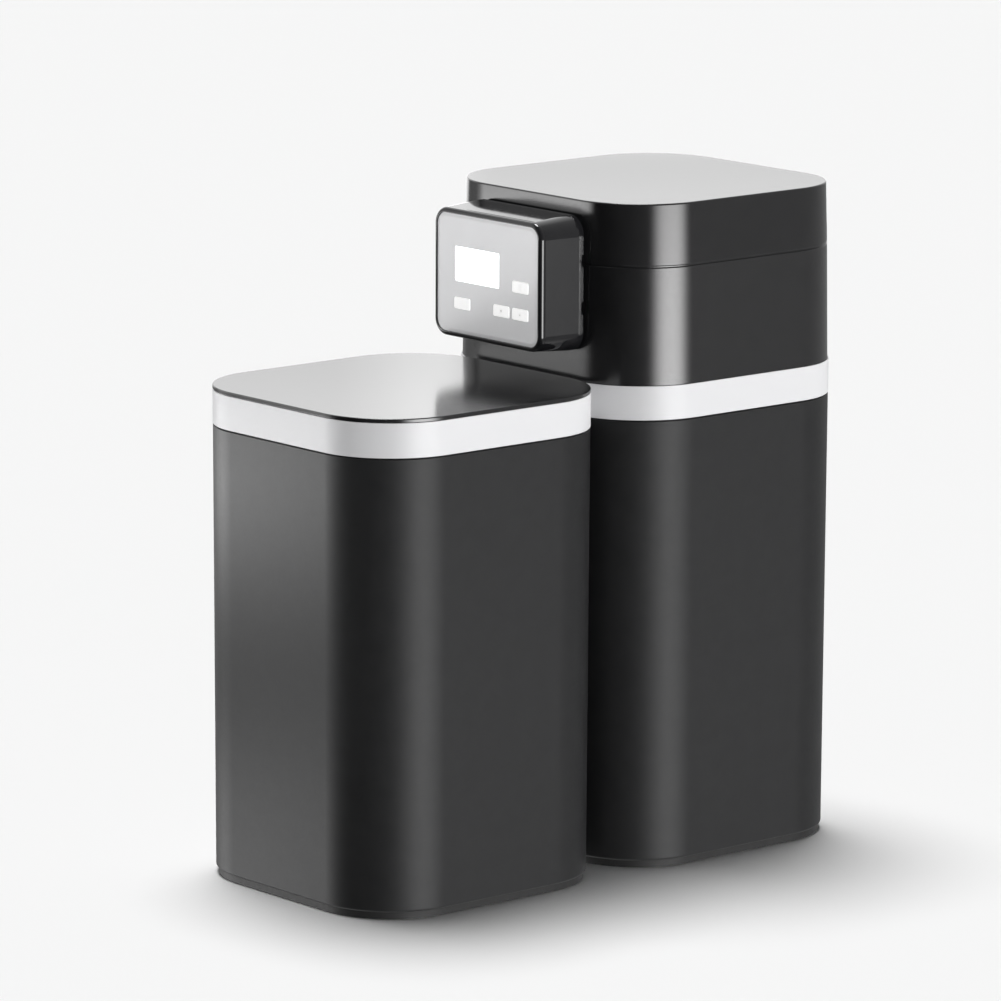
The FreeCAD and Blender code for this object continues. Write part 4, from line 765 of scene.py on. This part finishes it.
TOP_RIB_WIDTH = 2 * MM
TOP_RIB_HEIGHT = 8.5 * MM
TOP_RIB_MIDDLE = top_high.z - WALL - 3.75 * MM
ribs = bmesh.new()
for share in (-0.25, 0.0, 0.25):
    across = 2 * half_x * share
    reach = half_y - TOP_INSET - WALL
    into_corner = abs(across) - half_x + CORNER
    if into_corner > 0.0:
        reach -= CORNER - math.sqrt(CORNER**2 - into_corner**2)
    add_bar(ribs, (TOP_RIB_WIDTH, 2 * reach, TOP_RIB_HEIGHT), (across, resin_y, TOP_RIB_MIDDLE))
ease_ribs(ribs)
make_piece("head_lid_ribs", ribs, inner_black, "head_top")

# %% [markdown]
# ## The display pod
# The pod is built from the front to the back. The glossy bezel has a large round at its front edge,
# which draws one thin bright line, and a ledge that carries the fascia. The section is swept as
# before, then stood up so that its height points to the front.

# %% Sweep the bezel
bezel_low, bezel_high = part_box("pod_bezel")
pod_half_x = (bezel_high.x - bezel_low.x) / 2
pod_half_z = (bezel_high.z - bezel_low.z) / 2
pod_centre = Vector((0.0, 0.0, (bezel_low.z + bezel_high.z) / 2))
fascia_low, fascia_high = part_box("fascia")
POD_CORNER = 16 * MM
BORDER = 4.6 * MM
LEDGE = 2.5 * MM
POD_FRONT = -bezel_low.y
BEZEL_BACK = -bezel_high.y
FASCIA_FRONT = -fascia_low.y
FASCIA_BACK = -fascia_high.y
section = [
    (0.0, BEZEL_BACK),
    (0.0, POD_FRONT),
    (BORDER, POD_FRONT),
    (BORDER, FASCIA_BACK),
    (BORDER + LEDGE, FASCIA_BACK),
    (BORDER + LEDGE, BEZEL_BACK),
]
FINE = 0.3 * MM
section = supported(soften(section, {0: 0.25 * MM, 1: 4.0 * MM, 2: 0.3 * MM}, 8), FINE)
ring = sweep_wall(section, pod_half_x, pod_half_z, POD_CORNER, "ring")
make_piece(
    "pod_front_frame", stand_up(ring, pod_centre), gloss_black, "cabinets", ["pod_bezel"]
)

# %% [markdown]
# The back closes the housing with a short rim. Four notches in that rim take a screwdriver's tip
# for opening it, four screws hold it, and the middle opens into the arm.

# %% Make the pod's back
back_low, back_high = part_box("pod_back")
back_half_x = (back_high.x - back_low.x) / 2
back_half_z = (back_high.z - back_low.z) / 2
RIM_FRONT = -back_low.y
SKIN = -back_high.y
POD_WALL = 2.5 * MM
section = [
    (POD_WALL + 4 * MM, SKIN + POD_WALL),
    (POD_WALL, SKIN + POD_WALL),
    (POD_WALL, RIM_FRONT),
    (0.0, RIM_FRONT),
    (0.0, SKIN),
    (5 * MM, SKIN),
]
section = supported(soften(section, {3: 0.25 * MM, 4: 0.9 * MM}), FINE)
shell = stand_up(sweep_wall(section, back_half_x, back_half_z, POD_CORNER + 3 * MM), pod_centre)
pod_back = make_piece(
    "pod_rear_cover", shell, gloss_black, "cabinets", ["pod_back"], ease=0.2 * MM
)

NOTCH_PITCH = 45 * MM
NOTCH_LENGTH = 12 * MM
NOTCH_DEPTH = 3.5 * MM
for side in (-1, 1):
    for level in (-NOTCH_PITCH / 2, NOTCH_PITCH / 2):
        middle = Vector((side * back_half_x, back_high.y, pod_centre.z + level))
        reach = Vector((POD_WALL + 0.5 * MM, NOTCH_DEPTH, NOTCH_LENGTH / 2))
        carve(pod_back, tunnel(middle - reach, middle + reach, 0.8 * MM))
inner = Vector((POD_WALL, 0.0, POD_WALL))
arm_low = Vector((duct_low.x, back_low.y - 5 * MM, duct_low.z)) + inner
arm_high = Vector((duct_high.x, back_high.y + 5 * MM, duct_high.z)) - inner
carve(pod_back, tunnel(arm_low, arm_high, 1.0 * MM))

SCREW_X = 69 * MM
SCREW_Z = 47 * MM
BOSS_RADIUS = 4 * MM
SCREW_HOLE = 1.9 * MM
HEAD_HOLE = 3.2 * MM
BEYOND = 2 * MM
for side in (-1, 1):
    for level in (-1, 1):
        place_x = side * SCREW_X
        place_z = pod_centre.z + level * SCREW_Z
        for radius, start, end, operation in (
            (BOSS_RADIUS, back_low.y, back_high.y - 1 * MM, "UNION"),
            (SCREW_HOLE, back_low.y - BEYOND, back_high.y + BEYOND, "DIFFERENCE"),
            (HEAD_HOLE, back_high.y - BEYOND, back_high.y + BEYOND, "DIFFERENCE"),
        ):
            post = pin(radius, Vector((place_x, start, place_z)), Vector((place_x, end, place_z)))
            carve(pod_back, post, operation)

# %% [markdown]
# The silver fascia lies in the bezel with its own shallow bevel. It is cut out for the display window
# and for each key, with the small gap that a moving key needs.

# %% Make the fascia
fascia_half_x = (fascia_high.x - fascia_low.x) / 2
fascia_half_z = (fascia_high.z - fascia_low.z) / 2
BEVEL = 3.2 * MM
BEVEL_DROP = 0.4 * MM
GAP = 0.15 * MM
KEY_FLANGE = 1.5 * MM
KEY_CORNER = 1.5 * MM
CUT_BEYOND = 5 * MM
section = [
    (BEVEL + 6 * MM, FASCIA_FRONT),
    (BEVEL, FASCIA_FRONT),
    (0.0, FASCIA_FRONT - BEVEL_DROP),
    (0.0, FASCIA_BACK),
    (6 * MM, FASCIA_BACK),
]
section = supported(soften(section, {1: 2.0 * MM, 2: 0.15 * MM}), FINE)
plate = stand_up(sweep_wall(section, fascia_half_x, fascia_half_z, POD_CORNER - BORDER), pod_centre)
fascia_plate = make_piece(
    "fascia_plate", plate, fascia_silver, "cabinets", ["fascia"], ease=0.12 * MM
)


def fascia_hole(node, trim):
    """The opening round a node's front, from its box drawn in by trim."""
    low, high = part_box(node)
    margin = Vector((trim - GAP, 0.0, trim - GAP))
    low = Vector((low.x, -FASCIA_FRONT - CUT_BEYOND, low.z)) + margin
    high = Vector((high.x, -FASCIA_BACK + CUT_BEYOND, high.z)) - margin
    return tunnel(low, high, KEY_CORNER)


KEYS = ("regenerate_key", "menu_key", "down_key", "up_key")
carve(fascia_plate, fascia_hole("lcd_window", 0.0))
for node in KEYS:
    carve(fascia_plate, fascia_hole(node, KEY_FLANGE))
print("fascia", len(fascia_plate.data.polygons), "faces")

# %% [markdown]
# ## Keys
# Each key is a silicone cap with rounded edges, a flange that holds it behind the fascia, and a stem
# that reaches its switch. A key moves six tenths of a millimetre, so its cap stands half a millimetre
# proud. Small pale grey marks, such as the arrows, are thin raised shapes on the caps.

# %% Make the keys
FLANGE_FRONT = FASCIA_BACK - 0.15 * MM
FLANGE_BACK = FLANGE_FRONT - 1.0 * MM
STEM_RADIUS = 2 * MM
ARROW_HALF = 1.9 * MM
MARK_THICKNESS = 0.06 * MM
MARK_PROUD = 0.03 * MM
mark_grey = moulded("mark grey", (0.74, 0.74, 0.74), (0.80, 0.80, 0.80), 0.50, 0.60, 2500.0, 1e-5)


def triangle(mesh, *corners):
    """Adds one flat triangle from (x, height) corners."""
    mesh.faces.new([mesh.verts.new((x, level, 0.0)) for x, level in corners])


def arrow(base, tip):
    """A triangle that points up or down, as two heights from the cap's centre."""
    mesh = bmesh.new()
    triangle(mesh, (-ARROW_HALF, base), (ARROW_HALF, base), (0.0, tip))
    return mesh


def bars():
    """Three short lines, the usual sign for a list."""
    mesh = bmesh.new()
    for level in (-1.6 * MM, 0.0, 1.6 * MM):
        line = bmesh.ops.create_grid(mesh, x_segments=1, y_segments=1, size=1.0)["verts"]
        bmesh.ops.scale(mesh, vec=(2.2 * MM, 0.25 * MM, 1.0), verts=line)
        bmesh.ops.translate(mesh, vec=(0.0, level, 0.0), verts=line)
    return mesh


def cycle():
    """An open ring, the usual sign for running a cycle again."""
    mesh = bmesh.new()
    start = [mesh.verts.new((2.0 * MM, 0.0, 0.0)), mesh.verts.new((2.5 * MM, 0.0, 0.0))]
    edge = mesh.edges.new(start)
    turn = math.radians(290)
    bmesh.ops.spin(mesh, geom=[*start, edge], cent=(0, 0, 0), axis=(0, 0, 1), angle=turn, steps=30)
    triangle(mesh, (1.3 * MM, 0.1 * MM), (3.2 * MM, 0.1 * MM), (2.25 * MM, -1.5 * MM))
    return mesh


MARKS = {
    "regenerate_key": cycle,
    "menu_key": bars,
    "down_key": lambda: arrow(1.2 * MM, -1.6 * MM),
    "up_key": lambda: arrow(-1.2 * MM, 1.6 * MM),
}

for node in KEYS:
    low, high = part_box(node)
    front = -low.y
    section = [
        (KEY_FLANGE + 1.2 * MM, front),
        (KEY_FLANGE, front),
        (KEY_FLANGE, FLANGE_FRONT),
        (0.0, FLANGE_FRONT),
        (0.0, FLANGE_BACK),
        (KEY_FLANGE + 1.2 * MM, FLANGE_BACK),
    ]
    centre = Vector(((low.x + high.x) / 2, 0.0, (low.z + high.z) / 2))
    section = supported(soften(section, {1: 0.45 * MM, 3: 0.2 * MM, 4: 0.2 * MM}, 5), FINE, 3 * MM)
    half_size = (high - low) / 2
    cap = sweep_wall(section, half_size.x, half_size.z, KEY_CORNER + KEY_FLANGE, steps=8)
    body = node.replace("_key", "")
    key = make_piece(body + "_button", stand_up(cap, centre), key_white, "key_" + body, [node])
    root = Vector((centre.x, -FLANGE_BACK - 0.3 * MM, centre.z))
    carve(key, pin(STEM_RADIUS, root, Vector((centre.x, high.y, centre.z)), 24), "UNION")
    mark = MARKS[node]()
    bmesh.ops.recalc_face_normals(mark, faces=mark.faces)
    bmesh.ops.solidify(mark, geom=mark.faces[:], thickness=-MARK_THICKNESS)
    bmesh.ops.recalc_face_normals(mark, faces=mark.faces)
    rise = front + MARK_PROUD - max(vert.co.z for vert in mark.verts)
    bmesh.ops.translate(mark, vec=(0.0, 0.0, rise), verts=mark.verts)
    make_piece(body + "_mark", stand_up(mark, centre), mark_grey, "key_" + body)

# %% [markdown]
# ## Floor and studio
# The floor is one large pale plane. It keeps the cabinets' soft shadow. The camera
# sees the same pale tone behind it, so floor and backdrop meet without a line. Glossy rays pass
# through it, because the room described below has its own walls down to the ground and beyond.

# %% Lay the floor
PALE = 0.922
FLOOR_HALF = 30.0
floor_mesh = bmesh.new()
bmesh.ops.create_grid(floor_mesh, x_segments=1, y_segments=1, size=FLOOR_HALF)
floor_data = mesh_data("floor", floor_mesh)
floor = add_object("floor", floor_data)

floor_finish, shader = new_finish("floor", (0.86, 0.86, 0.86), 0.9)
shader.inputs["Specular IOR Level"].default_value = 0.0
tree = floor_finish.node_tree
ray = tree.nodes.new("ShaderNodeLightPath")
through = tree.nodes.new("ShaderNodeBsdfTransparent")
pick = tree.nodes.new("ShaderNodeMixShader")
output = tree.nodes["Material Output"]
tree.links.new(ray.outputs["Is Glossy Ray"], pick.inputs["Fac"])
tree.links.new(shader.outputs["BSDF"], pick.inputs[1])
tree.links.new(through.outputs["BSDF"], pick.inputs[2])
tree.links.new(pick.outputs["Shader"], output.inputs["Surface"])
floor_data.materials.append(floor_finish)

# %% [markdown]
# ## What the black plastic mirrors
# A black satin box shows its studio more than its own colour. The world answers glossy rays with a
# simple room. Its walls are a table from compass azimuth to brightness: a bright wall at the left, a
# dark side where the photographer stands, and a dim grey at the right. The upper part of the room
# has its own table, with a bright back wall that the lids pick up at a grazing angle. A colour ramp
# holds each table, because it blends softly from stop to stop.


# %% Build the studio world
def compass(azimuth_deg):
    """The level direction of an azimuth: 0 is the display's side, 90 is +X."""
    turn = math.radians(azimuth_deg)
    return (math.sin(turn), -math.cos(turn), 0.0)


WALLS = [
    (-180, 0.45), (-130, 0.35), (-110, 0.45), (-90, 0.35), (-70, 0.7), (-50, 1.4), (-43, 1.1),
    (-35, 0.3), (-27, 0.0), (0, 0.0), (20, 0.08), (40, 0.17), (62, 0.3), (105, 0.52), (135, 0.52),
    (180, 0.45),
]
UPPER = [
    (-180, 0.8), (-155, 1.5), (-130, 1.95), (-105, 1.9), (-60, 1.4), (-20, 0.3), (30, 0.2),
    (110, 0.5), (180, 0.8),
]
BRIGHTEST = 2.5
PLAIN = 0.06

world = bpy.data.worlds.new("studio")
bpy.context.scene.world = world
world.use_nodes = True
tree = world.node_tree
tree.nodes.clear()
direction = tree.nodes.new("ShaderNodeTexCoord").outputs["Generated"]
parts = tree.nodes.new("ShaderNodeSeparateXYZ")
tree.links.new(direction, parts.inputs[0])


def combine(operation, first, second):
    step = tree.nodes.new("ShaderNodeMath")
    step.operation = operation
    for index, value in enumerate((first, second)):
        if isinstance(value, float):
            step.inputs[index].default_value = value
        else:
            tree.links.new(value, step.inputs[index])
    return step.outputs["Value"]


def between(value, low, high):
    """0 below low, 1 above high, with a smooth step between them; low may be the larger one."""
    soft = tree.nodes.new("ShaderNodeMapRange")
    soft.interpolation_type = "SMOOTHSTEP"
    soft.inputs["From Min"].default_value = low
    soft.inputs["From Max"].default_value = high
    tree.links.new(value, soft.inputs["Value"])
    return soft.outputs["Result"]


def by_table(tree, value, table, brightest):
    """Looks a value up in a table of (value, brightness) and blends from stop to stop."""
    low, high = table[0][0], table[-1][0]
    share = tree.nodes.new("ShaderNodeMapRange")
    share.inputs["From Min"].default_value = low
    share.inputs["From Max"].default_value = high
    tree.links.new(value, share.inputs["Value"])
    node = tree.nodes.new("ShaderNodeValToRGB")
    stops = node.color_ramp.elements
    while len(stops) < len(table):
        stops.new(0.5)
    for stop, (at, brightness) in zip(stops, table):
        stop.position = (at - low) / (high - low)
        stop.color = (brightness / brightest,) * 3 + (1.0,)
    tree.links.new(share.outputs["Result"], node.inputs["Fac"])
    return node.outputs["Color"]


def panorama(table):
    """Brightness by azimuth, from a table of (degrees, brightness)."""
    return combine("MULTIPLY", by_table(tree, azimuth_deg, table, BRIGHTEST), BRIGHTEST)


azimuth = combine("ARCTAN2", parts.outputs["X"], combine("MULTIPLY", parts.outputs["Y"], -1.0))
azimuth_deg = combine("MULTIPLY", azimuth, math.degrees(1.0))
height = parts.outputs["Z"]

# %% [markdown]
# The camera looks down, so upright walls mirror what lies below the horizon, about eleven degrees
# down, and lids mirror what lies as much above it. The one strong light for upright faces is a tall
# narrow strip at the right, low down. It is small from top to bottom: a smooth surface mirrors its
# full brightness, and a rougher one mixes it with the dim wall round it, as on the real cabinets.
# Far below lies the pale ground, which draws a light line on edges that face down.

# %% Add the strip and join the tables
STRIP_AZIMUTH = 93.5
STRIP_REACH = math.cos(math.radians(36))
STRIP_DROP = 0.193
STRIP_LIGHT = 15.0
GROUND_LIGHT = 0.7
upper_share = between(height, -0.10, 0.04)
low_walls = combine("MULTIPLY", panorama(WALLS), combine("SUBTRACT", 1.0, upper_share))
high_walls = combine("MULTIPLY", panorama(UPPER), upper_share)
facing = tree.nodes.new("ShaderNodeVectorMath")
facing.operation = "DOT_PRODUCT"
facing.inputs[1].default_value = compass(STRIP_AZIMUTH)
tree.links.new(direction, facing.inputs[0])
strip_width = combine("POWER", between(facing.outputs["Value"], STRIP_REACH, 1.0), 2.0)
offset = combine("ABSOLUTE", combine("ADD", height, STRIP_DROP), 0.0)
strip = combine("MULTIPLY", combine("MULTIPLY", strip_width, between(offset, 0.15, 0.06)), STRIP_LIGHT)
ground = combine("MULTIPLY", between(height, -0.45, -0.75), GROUND_LIGHT)
light = combine("ADD", combine("ADD", combine("ADD", low_walls, high_walls), strip), ground)

room = tree.nodes.new("ShaderNodeBackground")
tree.links.new(light, room.inputs["Strength"])
plain = tree.nodes.new("ShaderNodeBackground")
plain.inputs["Color"].default_value = (PLAIN, PLAIN, PLAIN, 1.0)
seen = tree.nodes.new("ShaderNodeBackground")
seen.inputs["Color"].default_value = (PALE, PALE, PALE, 1.0)
ray = tree.nodes.new("ShaderNodeLightPath")
glossy_mix = tree.nodes.new("ShaderNodeMixShader")
camera_mix = tree.nodes.new("ShaderNodeMixShader")
world_output = tree.nodes.new("ShaderNodeOutputWorld")
tree.links.new(ray.outputs["Is Glossy Ray"], glossy_mix.inputs["Fac"])
tree.links.new(plain.outputs["Background"], glossy_mix.inputs[1])
tree.links.new(room.outputs["Background"], glossy_mix.inputs[2])
tree.links.new(ray.outputs["Is Camera Ray"], camera_mix.inputs["Fac"])
tree.links.new(glossy_mix.outputs["Shader"], camera_mix.inputs[1])
tree.links.new(seen.outputs["Background"], camera_mix.inputs[2])
tree.links.new(camera_mix.outputs["Shader"], world_output.inputs["Surface"])

# %% [markdown]
# ## Softbox cards
# A far wall looks the same from every height, so a flat face that mirrors it would have one even
# tone. A card that stands near the face is seen from each height in another place, and a card that
# fades from top to bottom gives the face its soft gradient. Only glossy rays see the two cards: one
# stands at the left for the front faces, and one behind for the lids.


# %% Stand up a card
def stand_card(name, middle, facing_deg, half_width, half_height, levels, across):
    """An upright card with a brightness by height and a second factor by X."""
    shape = bmesh.new()
    bmesh.ops.create_grid(shape, x_segments=1, y_segments=1, size=1.0)
    bmesh.ops.scale(shape, vec=(half_width, half_height, 1.0), verts=shape.verts)
    bmesh.ops.rotate(shape, matrix=Matrix.Rotation(math.pi / 2, 3, "X"), verts=shape.verts)
    bmesh.ops.rotate(shape, matrix=Matrix.Rotation(math.radians(facing_deg), 3, "Z"), verts=shape.verts)
    bmesh.ops.translate(shape, vec=middle, verts=shape.verts)
    data = mesh_data(name, shape)
    card = add_object(name, data)
    card.visible_camera = False
    card.visible_diffuse = False
    card.visible_transmission = False
    card.visible_shadow = False

    finish = bpy.data.materials.new(name)
    finish.use_nodes = True
    tree = finish.node_tree
    tree.nodes.clear()
    place = tree.nodes.new("ShaderNodeTexCoord").outputs["Object"]
    parts = tree.nodes.new("ShaderNodeSeparateXYZ")
    tree.links.new(place, parts.inputs[0])
    brightest = max(tone for at, tone in levels)
    strongest = max(gain for at, gain in across)
    glow = tree.nodes.new("ShaderNodeEmission")
    tree.links.new(by_table(tree, parts.outputs["Z"], levels, brightest), glow.inputs["Color"])
    strength = tree.nodes.new("ShaderNodeMath")
    strength.operation = "MULTIPLY"
    strength.inputs[1].default_value = strongest * brightest
    tree.links.new(by_table(tree, parts.outputs["X"], across, strongest), strength.inputs[0])
    tree.links.new(strength.outputs["Value"], glow.inputs["Strength"])
    output = tree.nodes.new("ShaderNodeOutputMaterial")
    tree.links.new(glow.outputs["Emission"], output.inputs["Surface"])
    data.materials.append(finish)
    print(name, "from", [round(min(v.co[i] for v in data.vertices), 2) for i in range(3)])


CARD_TURN = 49.64
FRONT_LEVELS = [
    (-0.30, 3.2), (-0.055, 3.2), (-0.016, 2.6), (0.023, 1.1), (0.06, 0.35), (0.10, 0.25),
    (0.14, 0.4), (0.18, 1.1), (0.22, 2.6), (0.26, 6.0), (0.30, 13.0), (0.325, 11.0), (0.345, 2.0),
    (0.36, 0.8), (0.44, 0.9), (0.48, 2.0), (0.505, 5.5), (0.55, 5.5), (0.60, 1.3), (1.20, 1.3),
]
FRONT_ACROSS = [
    (-0.761, 0.15), (-0.70, 0.3), (-0.645, 0.75), (-0.61, 1.0), (-0.382, 1.0), (-0.337, 0.7),
    (-0.301, 0.35), (-0.2526, 0.05),
]
stand_card(
    "front card", Vector((-0.5068, -0.5549, 0.45)), -CARD_TURN, 0.3925, 0.75, FRONT_LEVELS, FRONT_ACROSS
)

# %% [markdown]
# The card behind is lower in tone at the level that the pod's top mirrors. Its lower half, which the
# salt lid mirrors, ends behind the tall cabinet and grows brighter towards it.

# %% Stand up the card for the lids
LID_LEVELS = [
    (0.50, 1.5), (0.605, 1.5), (0.63, 1.6), (0.65, 1.8), (0.668, 2.2), (0.685, 2.2), (0.70, 1.3),
    (0.715, 1.1), (0.73, 1.4), (0.77, 1.62), (1.10, 1.64),
]
LID_ACROSS = [
    (-0.90, 1.0), (-0.70, 1.0), (-0.672, 1.1), (-0.648, 1.22), (-0.625, 1.25), (-0.605, 1.05),
    (-0.59, 1.0), (-0.20, 1.0),
]
stand_card("lid card", Vector((-0.572, 0.486, 0.80)), CARD_TURN, 0.42, 0.30, LID_LEVELS, LID_ACROSS)

# %% [markdown]
# Three sun lamps light the scene evenly as far as the camera sees. The wide one stands for a softbox
# hung overhead and a little behind, so its soft shadow falls a hand's breadth towards the camera.
# The other two are level fills from both sides. They light the upright faces, so that a pale colour
# looks as it is written there too, and cast no shadow of their own.


# %% Hang the lamps
def sun(name, azimuth_deg, height_deg, strength, angle_deg):
    data = bpy.data.lights.new(name, "SUN")
    data.energy = strength
    data.angle = math.radians(angle_deg)
    lamp = add_object(name, data)
    height = math.radians(height_deg)
    side = Vector(compass(azimuth_deg)) * math.cos(height)
    towards = side + Vector((0.0, 0.0, math.sin(height)))
    lamp.rotation_euler = towards.to_track_quat("Z", "Y").to_euler()
    return lamp


sun("overhead softbox", -110.0, 77.5, 3.2, 28.0)
for name, azimuth_deg, strength in (("left fill", -40.0, 1.4), ("right fill", 110.0, 3.3)):
    fill = sun(name, azimuth_deg, 0.0, strength, 8.0)
    fill.data.use_shadow = False
    fill.visible_glossy = False

bpy.context.scene.view_settings.view_transform = "Standard"
